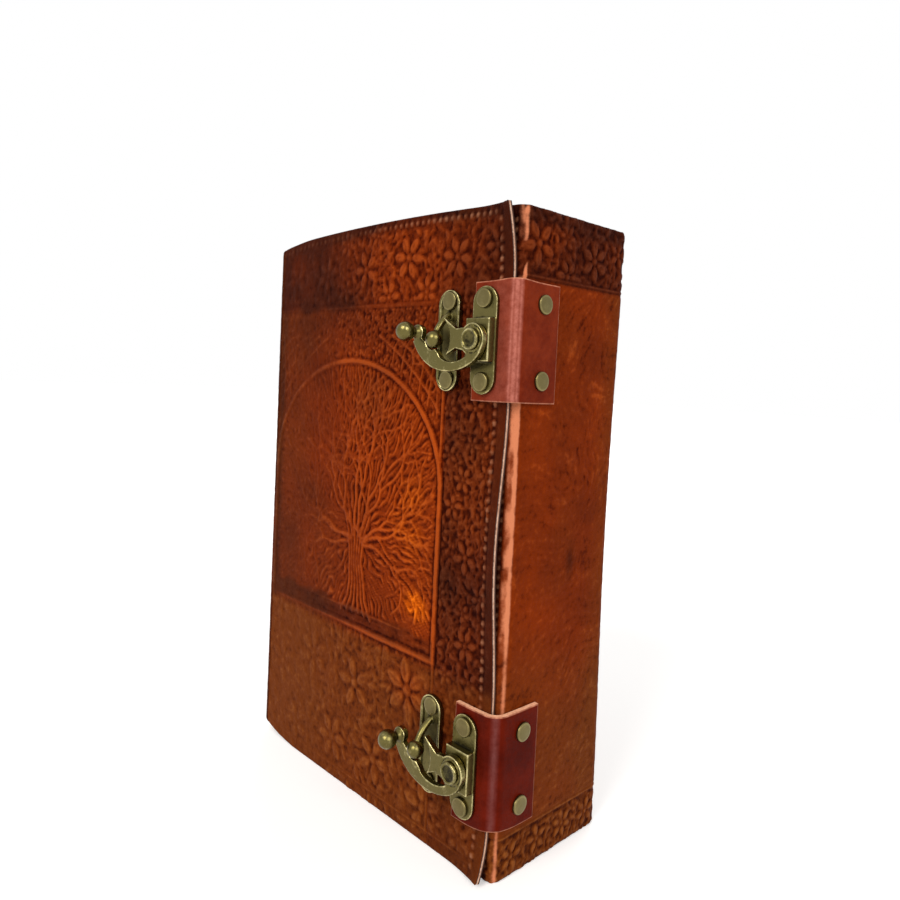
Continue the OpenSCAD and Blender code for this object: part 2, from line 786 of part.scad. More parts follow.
// Floor, rim, swan neck and ball, cast in one; the rim opens round both rivets' heads
catch_w = plate_w - 0.6;
module catch_plate(cz) {
    color(brass)
    on_front(catch_x, cz, 0) {
        difference() {
            linear_extrude(catch_t + rim_h) plate_2d(catch_w);
            translate([0, 0, catch_t]) linear_extrude(rim_h + 1) plate_2d(catch_w - 2 * rim_w);
            for (s = [-1, 1])
                translate([0, s * plate_end, 0]) {
                    translate([0, 0, -1]) cylinder(h = catch_t + 2, d = hole_d);
                    translate([0, 0, catch_t]) cylinder(h = rim_h + 1, d = head_d + 4 * pin_clear);
                }
        }
        swan_neck();
        translate([0, 0, hook_mid]) sphere(d = ball_d);
    }
}

module placed() {
    translate([shift_x, shift_y, 0]) children();
}

placed() leather_cover();
placed() page_block();
placed() binding_thread();
placed() tab(upper_z);  // tab_upper
placed() tab(lower_z);  // tab_lower
placed() hinge_plate(upper_z);  // hinge_plate_upper
placed() hinge_plate(lower_z);  // hinge_plate_lower
placed() pivot(upper_z);  // pivot_upper
placed() pivot(lower_z);  // pivot_lower
placed() swing_hook(upper_z);  // swing_hook_upper
placed() swing_hook(lower_z);  // swing_hook_lower
placed() catch_plate(upper_z);  // catch_plate_upper
placed() catch_plate(lower_z);  // catch_plate_lower
placed() tab_rivet(upper_z, 1);  // tab_rivet_upper_top
placed() tab_rivet(upper_z, -1);  // tab_rivet_upper_bottom
placed() tab_rivet(lower_z, 1);  // tab_rivet_lower_top
placed() tab_rivet(lower_z, -1);  // tab_rivet_lower_bottom
placed() hinge_rivet(upper_z, 1);  // hinge_rivet_upper_top
placed() hinge_rivet(upper_z, -1);  // hinge_rivet_upper_bottom
placed() hinge_rivet(lower_z, 1);  // hinge_rivet_lower_top
placed() hinge_rivet(lower_z, -1);  // hinge_rivet_lower_bottom
placed() catch_rivet(upper_z, 1);  // catch_rivet_upper_top
placed() catch_rivet(upper_z, -1);  // catch_rivet_upper_bottom
placed() catch_rivet(lower_z, 1);  // catch_rivet_lower_top
placed() catch_rivet(lower_z, -1);  // catch_rivet_lower_bottom
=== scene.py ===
import bpy
import numpy as np
from mathutils import Matrix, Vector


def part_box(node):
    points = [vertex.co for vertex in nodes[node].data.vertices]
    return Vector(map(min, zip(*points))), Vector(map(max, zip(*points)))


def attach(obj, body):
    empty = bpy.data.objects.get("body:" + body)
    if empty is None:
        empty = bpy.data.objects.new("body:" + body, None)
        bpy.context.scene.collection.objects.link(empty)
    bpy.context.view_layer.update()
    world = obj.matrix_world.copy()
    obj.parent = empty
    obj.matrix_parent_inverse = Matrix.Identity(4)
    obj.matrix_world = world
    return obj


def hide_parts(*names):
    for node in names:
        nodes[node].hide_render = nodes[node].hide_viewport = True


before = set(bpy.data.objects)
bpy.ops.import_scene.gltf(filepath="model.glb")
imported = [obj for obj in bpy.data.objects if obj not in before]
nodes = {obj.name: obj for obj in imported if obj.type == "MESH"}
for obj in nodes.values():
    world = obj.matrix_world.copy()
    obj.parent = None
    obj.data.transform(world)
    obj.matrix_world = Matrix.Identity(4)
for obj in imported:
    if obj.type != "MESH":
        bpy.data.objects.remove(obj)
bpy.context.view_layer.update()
print("frame loaded:", len(nodes), "nodes")

# Sizes in millimetres, measured from the middle of the journal's body, the same as the solids
journal = {
    "height": 258.0, "width": 170.0, "thickness": 70.0,
    "leather": 2.5, "foldRadius": 6.0, "lipFoldRadius": 5.0,
    "lipReach": 26.0, "lipGap": 0.3, "edgeBack": 3.0, "edgeRound": 0.8,
    "headBow": 1.8, "bowMiddle": 15.0, "dipHead": 4.5, "dipFoot": 6.0, "dipFrom": -50.0,
    "curlWidth": 22.0, "cornerCurl": 4.7, "edgeBulge": 3.2, "cornerRise": 2.0, "waist": 2.4,
    "upperClasp": 206.0, "lowerClasp": 44.0, "tabHeight": 46.0, "tabHold": 1.0,
    "shift": (-1.15, 9.85, 0.0),
}
halfW = journal["width"] / 2
halfT = journal["thickness"] / 2
leatherT = journal["leather"]
edgeX = halfW - journal["edgeBack"]
curlX = edgeX - journal["curlWidth"]
lipY = -halfT + leatherT + journal["lipGap"]
millimetre = 0.001


# Places nodes in a tree and joins them, so that a material reads as a list of steps
class NodeDesk:
    def __init__(self, tree):
        self.tree = tree
        tree.nodes.clear()

    def node(self, kind, fills=None, **settings):
        made = self.tree.nodes.new(kind)
        for key, value in settings.items():
            setattr(made, key, value)
        for key, value in (fills or {}).items():
            self.fill(made.inputs[key], value)
        return made

    def fill(self, socket, value):
        if isinstance(value, bpy.types.Node):
            value = value.outputs[0]
        if isinstance(value, bpy.types.NodeSocket):
            self.tree.links.new(value, socket)
        elif isinstance(value, tuple) and len(value) == 3 and len(socket.default_value) == 4:
            socket.default_value = (*value, 1)
        else:
            socket.default_value = value

    def place(self):
        return self.node("ShaderNodeTexCoord").outputs["Object"]

    def attribute(self, name):
        made = self.node("ShaderNodeAttribute", attribute_type="GEOMETRY", attribute_name=name)
        return made.outputs["Fac"]

    def math(self, operation, a, b, clamp=False):
        fills = {0: a, 1: b}
        return self.node("ShaderNodeMath", fills, operation=operation, use_clamp=clamp).outputs[0]

    def add(self, a, b):
        return self.math("ADD", a, b)

    def times(self, a, b):
        return self.math("MULTIPLY", a, b)

    # How far a noise lies from its mean of a half, times an amount
    def swing(self, noise, amount):
        return self.times(self.math("SUBTRACT", noise, 0.5), amount)

    def ramp(self, value, low, high, outLow=0.0, outHigh=1.0):
        fills = {"Value": value, "From Min": low, "From Max": high,
                 "To Min": outLow, "To Max": outHigh}
        return self.node("ShaderNodeMapRange", fills, interpolation_type="SMOOTHSTEP").outputs[0]

    def mix(self, share, a, b, blend="MIX"):
        fills = {0: share, 6: a, 7: b}
        return self.node("ShaderNodeMix", fills, data_type="RGBA", blend_type=blend).outputs[2]

    def noise(self, place, scale, detail, rough):
        fills = {"Vector": place, "Scale": scale, "Detail": detail, "Roughness": rough}
        return self.node("ShaderNodeTexNoise", fills).outputs["Fac"]

    # One for rays from the camera, mirrored rays and rays through glass, zero for the rest
    def seenRays(self):
        rays = self.node("ShaderNodeLightPath").outputs
        most = self.math("MAXIMUM", rays["Is Camera Ray"], rays["Is Glossy Ray"])
        return self.math("MAXIMUM", most, rays["Is Transmission Ray"])


# A material with an empty tree, and the desk that fills it
def newMaterial(name):
    material = bpy.data.materials.new(name)
    material.use_nodes = True
    return material, NodeDesk(material.node_tree)


# Camera, floor and light
cameraFit = {
    "place": (0.26527, -0.22405, 0.19187),
    "azimuth": 45.22, "drop": 2.46, "roll": 2.78,
    "focal": 739.5, "centre": (474.6, 409.7), "picture": 900.0, "sensor": 36.0,
}


# Right, up and forward axes of a camera turned to an azimuth, tilted down and rolled
def cameraAxes(azimuth, drop, roll):
    az, el, ro = np.radians([azimuth, drop, roll])
    forward = np.array([-np.sin(az) * np.cos(el), np.cos(az) * np.cos(el), -np.sin(el)])
    side = np.cross(forward, [0.0, 0.0, 1.0])
    side /= np.linalg.norm(side)
    up = np.cross(side, forward)
    return np.cos(ro) * side + np.sin(ro) * up, np.cos(ro) * up - np.sin(ro) * side, forward


# Adds a lamp or camera whose own axes point as the three given, at a place
def standThing(name, data, axes, place=(0.0, 0.0, 0.0)):
    thing = bpy.data.objects.new(name, data)
    bpy.context.scene.collection.objects.link(thing)
    turn = np.eye(4)
    turn[:3, :3] = np.column_stack(axes)
    turn[:3, 3] = place
    thing.matrix_world = Matrix(turn.tolist())
    return thing


# The photograph's camera: its shift puts the middle of the picture where the fit has it
def makeCamera(fit):
    data = bpy.data.cameras.new("photoCamera")
    side, up, forward = cameraAxes(fit["azimuth"], fit["drop"], fit["roll"])
    camera = standThing("photoCamera", data, (side, up, -forward), fit["place"])
    data.sensor_fit = "HORIZONTAL"
    data.sensor_width = fit["sensor"]
    data.lens = fit["focal"] * fit["sensor"] / fit["picture"]
    data.shift_x = (fit["picture"] / 2 - fit["centre"][0]) / fit["picture"]
    data.shift_y = (fit["centre"][1] - fit["picture"] / 2) / fit["picture"]
    data.clip_start = 0.01
    bpy.context.scene.camera = camera


studio = {
    "worldLight": 0.42, "worldSeen": 1.0, "worldColor": (1.0, 0.985, 0.96),
    "floorColor": (0.86, 0.86, 0.86), "floorGlow": 0.3, "floorHalf": 6.0,
    # each lamp: the direction it stands in, its strength, its colour and how wide it looks
    "lamps": {
        "keyLamp": ((0.15, -1.0, 0.75), 1.9, (1.0, 0.97, 0.93), 28),
        "sideLamp": ((1.0, -0.35, 0.6), 1.35, (1.0, 0.98, 0.95), 35),
        "backLamp": ((-0.6, 0.9, 1.1), 0.9, (1.0, 1.0, 1.0), 40),
    },
}


# A pale floor and surroundings that look white, and three wide lamps at a plain level
def makeStudio(values):
    scene = bpy.context.scene
    scene.view_settings.view_transform = "Standard"
    world = bpy.data.worlds.new("studioWorld")
    scene.world = world
    world.use_nodes = True
    desk = NodeDesk(world.node_tree)
    back = "ShaderNodeBackground"
    lit = desk.node(back, {"Strength": values["worldLight"], "Color": values["worldColor"]})
    seen = desk.node(back, {"Strength": values["worldSeen"], "Color": (1.0, 1.0, 1.0)})
    mix = desk.node("ShaderNodeMixShader", {0: desk.seenRays(), 1: lit, 2: seen})
    desk.node("ShaderNodeOutputWorld", {0: mix})
    for name, (toward, power, color, wide) in values["lamps"].items():
        data = bpy.data.lights.new(name, "SUN")
        data.energy = power
        data.color = color
        data.angle = np.radians(wide)
        z = np.array(toward) / np.linalg.norm(toward)
        x = np.cross([0.0, 0.0, 1.0], z)
        x /= np.linalg.norm(x)
        standThing(name, data, (x, np.cross(z, x), z))
    h = values["floorHalf"]
    mesh = bpy.data.meshes.new("floor")
    mesh.from_pydata([(-h, -h, 0), (h, -h, 0), (h, h, 0), (-h, h, 0)], [], [(0, 1, 2, 3)])
    floor = bpy.data.objects.new("floor", mesh)
    scene.collection.objects.link(floor)
    material, desk = newMaterial("paleFloor")
    matt = desk.node("ShaderNodeBsdfDiffuse", {"Color": values["floorColor"]})
    none = desk.node("ShaderNodeEmission", {"Strength": 0.0})
    glow = desk.node("ShaderNodeEmission", {"Strength": values["floorGlow"]})
    pick = desk.node("ShaderNodeMixShader", {0: desk.seenRays(), 1: none, 2: glow})
    both = desk.node("ShaderNodeAddShader", {0: matt, 1: pick})
    desk.node("ShaderNodeOutputMaterial", {0: both})
    mesh.materials.append(material)


makeCamera(cameraFit)
makeStudio(studio)
print("camera and studio ready")

# Noise and the flat maps of the embossing


# From a where t is 0 to b where t is 1, in a straight line
def blend(a, b, t):
    return a * (1 - t) + b * t


# The curve 3t^2 - 2t^3 of the way from low to high
def smoothStep(low, high, x):
    t = np.clip((x - low) / (high - low), 0, 1)
    return t * t * (3 - 2 * t)


# Smooth random values between 0 and 1: a table of random numbers read by the cell's two
# indices and blended across the cell with the curve 3t^2 - 2t^3
def noiseAt(x, z, size, seed):
    table = np.random.default_rng(seed).random((256, 256))
    u, v = np.asarray(x) / size, np.asarray(z) / size
    iu, iv = np.floor(u).astype(int), np.floor(v).astype(int)
    fu, fv = smoothStep(0, 1, u - iu), smoothStep(0, 1, v - iv)
    near, far = [blend(table[row % 256, iu % 256], table[row % 256, (iu + 1) % 256], fu)
                 for row in (iv, iv + 1)]
    return blend(near, far, fv)


# Several layers of noise, each half as large and half as strong as the one before
def cloudAt(x, z, size, seed, layers=3):
    total, weight = 0, 0
    for k in range(layers):
        total = total + noiseAt(x, z, size / 2 ** k, seed + k) / 2 ** k
        weight += 1 / 2 ** k
    return total / weight


# The same cloud, from -0.5 to 0.5
def swayAt(x, z, size, seed, layers=3):
    return cloudAt(x, z, size, seed, layers) - 0.5


# Sum of soft round spots, each with a middle, two half widths and a strength
def spots(x, z, table):
    return sum(strength * np.exp(-((x - cx) / wx) ** 2 - ((z - cz) / wz) ** 2)
               for cx, cz, wx, wz, strength in table)


# Sum of fades, each with the value it starts at, the value it ends at and a strength
def fades(value, table):
    return sum(strength * smoothStep(low, high, value) for low, high, strength in table)


# What is pressed into each face
pressing = {
    "step": 0.3, "foot": -2, "head": 260, "seed": 11,
    "archX": -15.0, "archHalf": 63.0, "archRise": 52.0, "archSpring": 145.0, "archFoot": 75.8,
    "rimWidth": 2.9, "groundRise": 8.5, "borderX": 47.3, "stripX0": 49.0, "stripX1": 75.0,
    "beadX": 76.2, "beadFromHead": 3.0, "beadPitch": 3.6, "beadRadius": 0.8,
    "bandFoot": 221.5, "lowTop": 73.5, "hem": (77.2, 78.2),
    "trunkFoot": (-5.5, 85.0), "fork": (-7.0, 118.0), "trunkSpread": 5.4, "cords": 6,
    "limbs": 12, "limbLength": 21.0, "limbWidth": 2.4, "twigDepth": 3, "roots": 14,
    "strandGap": 3.4, "firstRing": 8.0, "strandBands": 5,
    "knotRings": [(31, 200, 4.4), (40, 188, 3.6), (20, 206, 3.0)],
    # flowers that stand at known places: across, height and radius
    "bandFlowers": [(22.0, 241.0, 9.5), (52.0, 239.0, 8.5), (-8.0, 238.0, 8.5),
                    (-38.0, 237.0, 8.5), (-66.0, 236.0, 8.5)],
    "stripFlowers": [(64.2, 122.0, 7.0), (66.5, 88.0, 6.5), (61.0, 152.0, 5.5),
                     (66.0, 180.0, 5.5), (61.0, 62.0, 5.5)],
    "lowFlowers": [(33.0, 59.0, 14.0), (-4.0, 50.0, 12.0), (-38.0, 54.0, 12.0),
                   (-66.0, 42.0, 11.0), (46.0, 14.0, 12.0), (12.0, 21.0, 11.0),
                   (-20.0, 19.0, 11.0), (-52.0, 15.0, 10.0), (66.0, 36.0, 8.0), (68.0, 12.0, 7.0)],
    "flapTopFlowers": [(-23.5, 243.0, 9.0), (11.0, 241.0, 8.5), (27.0, 246.0, 6.0),
                       (-7.0, 248.0, 5.0)],
    "flapFootFlowers": [(-22.0, 8.0, 6.0), (-7.0, 9.0, 6.0), (9.0, 9.0, 6.0), (25.0, 8.0, 6.0)],
    "flapLines": [((-30, 230.5), (44, 230.5), 1.2), ((-30, 17), (44, 17), 1.0)],
    "foldBeads": -35.4, "foldShine": -31.6,
}


# A flat map of one face: heights from 0, the pressed ground, to 1, the raised work, and the
# places of its cells
def blankMap(x0, x1):
    step = pressing["step"]
    xs = np.arange(x0, x1 + step / 2, step)
    zs = np.arange(pressing["foot"], pressing["head"] + step / 2, step)
    press = {"xs": xs, "zs": zs, "step": step}
    for layer in ("h", "wear", "pale"):
        press[layer] = np.zeros((len(zs), len(xs)))
    return press, *np.meshgrid(xs, zs)


# A map with the same cells and nothing pressed yet
def likeMap(press):
    return dict(press, h=np.zeros_like(press["h"]))


# The cells of a map inside a box, as a pair of slices, and their places
def windowOf(press, x0, x1, z0, z1):
    cells = []
    for axis, low, high in (("zs", z0, z1), ("xs", x0, x1)):
        start = press[axis][0]
        first = int(max(0, np.floor((low - start) / press["step"])))
        last = int(min(len(press[axis]), np.ceil((high - start) / press["step"]) + 1))
        cells.append(slice(first, max(first, last)))
    x, z = np.meshgrid(press["xs"][cells[1]], press["zs"][cells[0]])
    return tuple(cells), x, z


# The same for a square about a point
def windowAt(press, x, z, reach):
    return windowOf(press, x - reach, x + reach, z - reach, z + reach)


# Lifts cells to a height where they lie lower
def raiseTo(press, cells, height, layer="h"):
    press[layer][cells] = np.maximum(press[layer][cells], height)


# A domed profile: the root of 1 - off^3, which is 1 in the middle and 0 at the rim
def dome(off):
    return np.sqrt(np.clip(1 - off ** 3, 0, 1))


# Cosine and sine of an angle in degrees
def compass(angle):
    return np.cos(np.radians(angle)), np.sin(np.radians(angle))


# A raised line: the distance to each segment over the half width there gives a domed height
def pressLine(press, path, w0, w1, top=1.0):
    path = np.asarray(path, float)
    radii = np.linspace(w0, w1, len(path)) / 2
    for a, b, ra, rb in zip(path[:-1], path[1:], radii[:-1], radii[1:]):
        r = max(ra, rb)
        low, high = np.minimum(a, b) - r, np.maximum(a, b) + r
        cells, x, z = windowOf(press, low[0], high[0], low[1], high[1])
        d = b - a
        t = np.clip(((x - a[0]) * d[0] + (z - a[1]) * d[1]) / max(d @ d, 1e-9), 0, 1)
        far = np.hypot(x - a[0] - t * d[0], z - a[1] - t * d[1]) / (ra + (rb - ra) * t)
        raiseTo(press, cells, top * dome(far))


# Straight raised lines, each with two ends and a width
def pressLines(press, lines, top):
    for a, b, width in lines:
        pressLine(press, [a, b], width, width, top)


# A raised leaf: its half width follows a sine along its length, and a vein is cut in its middle
def pressLeaf(press, x0, z0, angle, length, width, top=1.0, vein=0.35):
    c, s = compass(angle)
    cells, x, z = windowAt(press, x0, z0, length + width)
    along = ((x - x0) * c + (z - z0) * s) / length
    across = (z - z0) * c - (x - x0) * s
    half = width / 2 * np.sin(np.pi * np.clip(along, 0, 1)) ** 0.75
    height = top * dome(np.abs(across) / np.maximum(half, 1e-6))
    height = height - vein * np.exp(-((across / 0.35) ** 2)) * (along < 0.9)
    raiseTo(press, cells, np.where((along > 0) & (along < 1), height, 0))


# A raised disc with a domed top, or a ring when inner is above 0
def pressDisc(press, x0, z0, radius, top=1.0, inner=0.0):
    cells, x, z = windowAt(press, x0, z0, radius)
    far = np.hypot(x - x0, z - z0)
    middle, half = (radius + inner) / 2, (radius - inner) / 2
    raiseTo(press, cells, top * dome(far / radius if inner == 0 else np.abs(far - middle) / half))


# Petals are leaves set round an eye, and the eye is a small disc
def pressFlower(press, x0, z0, radius, petals, turn):
    eye = radius * 0.2
    for k in range(petals):
        angle = turn + 360 * k / petals
        c, s = compass(angle)
        pressLeaf(press, x0 + c * eye, z0 + s * eye, angle, radius * 0.8, radius * 0.48)
    pressDisc(press, x0, z0, eye, 0.85)


# A path of equal steps with a heading in degrees for each
def walk(x, z, headings, length):
    steps = np.column_stack(compass(headings)) * (length / len(headings))
    return np.array([x, z]) + np.concatenate([np.zeros((1, 2)), np.cumsum(steps, 0)])


# The heading turns evenly over the length
def curlPath(x, z, angle, length, turn, steps):
    return walk(x, z, angle + turn * (np.arange(steps) + 0.5) / steps, length)


# The heading sways like a sine about a mean that drifts
def swayPath(x, z, angle, length, sway, waves, drift, steps, phase):
    t = (np.arange(steps) + 0.5) / steps
    return walk(x, z, angle + drift * t + sway * np.sin(2 * np.pi * (waves * t + phase)), length)


meadow = {"apart": 1.15, "flowerTries": 3, "leafTries": 6, "leafShare": 0.6}


# Flowers scattered over a box, apart from each other, and leaves and curls in the rest
def pressMeadow(press, box, radius, seed, fixed=(), density=1.0, clear=lambda x, z: False):
    rng = np.random.default_rng(seed)
    x0, x1, z0, z1 = box
    flowers = [tuple(f) for f in fixed]
    area = (x1 - x0) * (z1 - z0)
    for _ in range(int(area / radius ** 2 * meadow["flowerTries"])):
        x, z, r = rng.uniform(x0, x1), rng.uniform(z0, z1), radius * rng.uniform(0.75, 1.1)
        if clear(x, z):
            continue
        if all(np.hypot(x - f[0], z - f[1]) > (r + f[2]) * meadow["apart"] for f in flowers):
            flowers.append((x, z, r))
    for x, z, r in flowers:
        pressFlower(press, x, z, r, int(rng.integers(5, 7)), rng.uniform(0, 360))
    for _ in range(int(area / radius ** 2 * meadow["leafTries"] * density)):
        x, z = rng.uniform(x0, x1), rng.uniform(z0, z1)
        if clear(x, z):
            continue
        if min((np.hypot(x - f[0], z - f[1]) - f[2] for f in flowers), default=9) < 0.3:
            continue
        angle = rng.uniform(0, 360)
        if rng.random() < meadow["leafShare"]:
            length, width = radius * rng.uniform(0.45, 0.8), radius * rng.uniform(0.2, 0.32)
            pressLeaf(press, x, z, angle, length, width, 0.85, 0.25)
        else:
            turn = rng.uniform(-200, 200)
            path = curlPath(x, z, angle, radius * rng.uniform(0.6, 1.1), turn, 6)
            pressLine(press, path, 0.9, 0.5, 0.75)


# Mean of the values in a square about each cell, from running sums along both ways
def blurred(values, cells, times=1):
    for axis in (0, 1) * times:
        padded = np.concatenate([np.repeat(values.take([0], axis), cells, axis), values,
                                 np.repeat(values.take([-1], axis), cells, axis)], axis)
        total = np.cumsum(padded, axis)
        total = np.concatenate([np.zeros_like(total.take([0], axis)), total], axis)
        size, n = 2 * cells + 1, values.shape[axis]
        values = (total.take(range(size, size + n), axis) - total.take(range(n), axis)) / size
    return values


# Values of a map at any points, blended between its four nearest cells
def readMap(press, layer, x, z):
    data = press[layer]
    u = np.clip((x - press["xs"][0]) / press["step"], 0, len(press["xs"]) - 1.001)
    v = np.clip((z - press["zs"][0]) / press["step"], 0, len(press["zs"]) - 1.001)
    i, j = u.astype(int), v.astype(int)
    near, far = [blend(data[row, i], data[row, i + 1], u - i) for row in (j, j + 1)]
    return blend(near, far, v - j)


# Distance to the middle of the arch's rim, less than 0 inside: to its sides below the springing,
# and above it the share by which a point lies outside the half ellipse, times the mean radius
def archDistance(x, z):
    p = pressing
    dx = (x - p["archX"]) / p["archHalf"]
    dz = np.maximum(z - p["archSpring"], 0) / p["archRise"]
    high = (np.hypot(dx, dz) - 1) * (p["archHalf"] + p["archRise"]) / 2
    side = np.abs(x - p["archX"]) - p["archHalf"]
    return np.maximum(np.where(z > p["archSpring"], high, side), p["archFoot"] - z)


# Wavy ridges that run out from the fork of the tree: a cosine of the angle about it. Each ring
# outwards holds twice as many ridges as the one before, so that they fork and keep their width
def strandField(x, z):
    p = pressing

    def wavy(value, seed):
        return value + 9.0 * swayAt(x, z, 15, seed) + 3.2 * (noiseAt(x, z, 4.5, seed + 1) - 0.5)

    dx, dz = wavy(x, 301) - p["fork"][0], wavy(z, 303) - p["fork"][1]
    angle = np.arctan2(dx, dz)
    band = np.log2((np.hypot(dx, dz) + 0.1) / p["firstRing"])
    band = np.clip(band, 0, p["strandBands"] - 1)
    first = round(2 * np.pi * p["firstRing"] * 1.45 / p["strandGap"])
    total = 0
    for k in range(p["strandBands"]):
        ridge = 0.5 + 0.5 * np.cos(angle * first * 2 ** k)
        total = total + smoothStep(1.0, 0.0, np.abs(band - k)) * ridge
    return np.clip(total * (0.45 + 0.9 * cloudAt(x, z, 5, 305)), 0, 1)


# Branches sway as they leave the one below, carry two or three more, and stop at the arch
def growBranch(press, rng, x, z, angle, length, width, depth):
    drift = rng.uniform(-26, 26)
    sway, waves = rng.uniform(10, 26), rng.uniform(0.8, 1.5)
    path = swayPath(x, z, angle, length, sway, waves, drift, 8, rng.random())
    keep = archDistance(path[:, 0], path[:, 1]) < -2.5
    keep = keep & (path[:, 1] > pressing["archFoot"] + 12)
    stop = len(path) if keep.all() else int(np.argmin(keep))
    if stop < 3:
        return
    path = path[:stop]
    pressLine(press, path, width, max(1.1, width * 0.6), 0.78 + 0.06 * depth)
    if depth == 0:
        return
    tip = np.degrees(np.arctan2(*(path[-1] - path[-2])[::-1]))
    turns = rng.uniform(-38, -12), rng.uniform(12, 38), rng.uniform(-65, 65)
    for k, turn in enumerate(turns):
        at = path[-1] if k < 2 else path[len(path) // 2]
        if k == 2 and rng.random() < 0.4:
            continue
        reach = length * rng.uniform(0.7, 0.9)
        growBranch(press, rng, *at, tip + turn, reach, max(1.2, width * 0.7), depth - 1)


# The trunk is a sheaf of cords that spread at the foot, limbs fan out of its fork, and roots
# wind out over the ground
def pressTree(press, rng):
    p = pressing
    foot, fork, wide = np.array(p["trunkFoot"]), np.array(p["fork"]), p["trunkSpread"]
    for t in np.linspace(-1, 1, p["cords"]):
        path = [foot + [t * 2.1 * wide, -2 - 1.5 * t * t], foot + [t * 1.2 * wide, 4],
                foot + [t * wide, 11], fork + [t * 0.8 * wide, -12], fork + [t * wide, 0],
                fork + [t * 1.8 * wide, 10]]
        pressLine(press, path, 1.9, 1.6, 0.95)
    for t in np.linspace(0, 1, p["limbs"]):
        start = fork + [(0.5 - t) * 11, 3 - 14 * abs(t - 0.5)]
        angle = -8 + 196 * t + rng.uniform(-5, 5)
        length = p["limbLength"] * (1 + 0.35 * np.sin(np.pi * t))
        growBranch(press, rng, *start, angle, length, p["limbWidth"], p["twigDepth"])
    for t in np.linspace(0, 1, p["roots"]):
        start = foot + [(t - 0.5) * 16, -1]
        length = rng.uniform(10, 30)
        path = swayPath(*start, 196 + 148 * t, length, 25, 1.5, 0, 9, rng.random())
        path[:, 1] = np.maximum(path[:, 1], p["archFoot"] + p["groundRise"] - 1)
        pressLine(press, path, 1.8, 0.9, 0.8)


# Bows that cross like a lattice in the corner above the arch's shoulder, turned by side
def pressKnots(press, side):
    p = pressing
    cx = p["archX"]

    def turned(path):
        return np.column_stack([cx + side * (path[:, 0] - cx), path[:, 1]])

    t = np.linspace(0, 1, 9)[:, None]
    for k in range(4):
        a, b = np.array([4.0 + 9.0 * k, 208.5]), np.array([46.5, 176.0 + 8.0 * k])
        middle = (a + b) / 2 + [4.0, 4.0]
        bow = a * (1 - t) ** 2 + 2 * middle * t * (1 - t) + b * t ** 2
        pressLine(press, turned(bow), 1.5, 1.5, 0.9)
    for k in range(6):
        a = np.array([14.0 + 6.0 * k, 197.0 - 4.4 * k])
        b = np.array([min(20.0 + 7.0 * k, 46.5), 209.0])
        pressLine(press, turned(np.array([a, (a + b) / 2 + [-1.6, 0.8], b])), 1.3, 1.2, 0.85)
    for x, z, r in p["knotRings"]:
        pressDisc(press, cx + side * (x - cx), z, r, 0.9, r - 1.3)
        pressDisc(press, cx + side * (x - cx), z, r * 0.3, 0.8)


# Lays fresh work over what is pressed already, which is sunk in a narrow margin round it
def layOver(press, work, cells, share=0.9):
    margin = smoothStep(0.03, 0.30, blurred(work["h"], cells))
    press["h"] = np.maximum(work["h"], press["h"] * (1 - share * margin))


# A row of small beads, some of them rubbed pale
def pressBeads(press, places, rng):
    for x0, z0 in places:
        pressDisc(press, x0, z0, pressing["beadRadius"])
        cells, x, z = windowAt(press, x0, z0, 1)
        spot = np.clip(1.3 - np.hypot(x - x0, z - z0) / 0.9, 0, 1) * rng.uniform(0.2, 1.0)
        raiseTo(press, cells, spot, "pale")


# The last touches on any map: pebbles in the hollows, softened edges, and the tone, which is high
# where a point stands above its surroundings and gets a painted highlight, and low where the stain
# gathers
def finishMap(press, x, z, seed, keep=1.0, soft=0.0):
    pebble = 1 - np.abs(2 * cloudAt(x, z, 1.5, seed, 2) - 1) * 1.5
    h = np.maximum(press["h"], 0.26 * np.clip(pebble, 0, 1))
    h = h * (0.86 + 0.28 * noiseAt(x, z, 1.3, seed + 5))
    h = 0.25 * h + 0.75 * blurred(h, 1, 2)
    h = blend(h, blurred(h, 3, 2), soft)
    stand = 0.75 * (h - blurred(h, 7)) + 0.30 * (h - 0.45)
    press["tone"] = np.clip(0.5 + stand * keep, 0, 1)
    press["h"] = 0.5 + (h - 0.5) * keep


# Stain of the front, partly painted light: what each part glows with, spots and fades over it, and how
# brown it is. The spots in the arch carry a painted pool of light, and the fades across and up carry
# painted shade towards the spine side and the top
frontTone = {
    "base": 0.70, "spots": [(33, 128, 24, 46, 0.42), (35, 96, 8, 6, 0.62)],
    "across": [(0, -72, -0.34)], "up": [(192, 215, -0.14)],
    "bandBase": 0.02, "bandSpots": [(22, 0, 36, 1, 0.82)],
    "stripBase": 0.20, "stripUp": [(150, 215, 0.10)],
    "edges": [(76.5, 78, -0.15), (-70, -80, -0.6)], "head": [(7, 1, -0.5)],
    "ground": 0.42, "mottle": 0.55, "bloom": [(33, 61, 13, 10, 1.0)], "bloomGlow": 0.25,
    "lowOlive": 0.9, "stripOlive": 0.45, "spineOlive": [(-76, -84, 0.75)],
    "leftOlive": [(-20, -70, 0.25)], "bloomOlive": 0.5, "oliveMottle": 0.35,
}


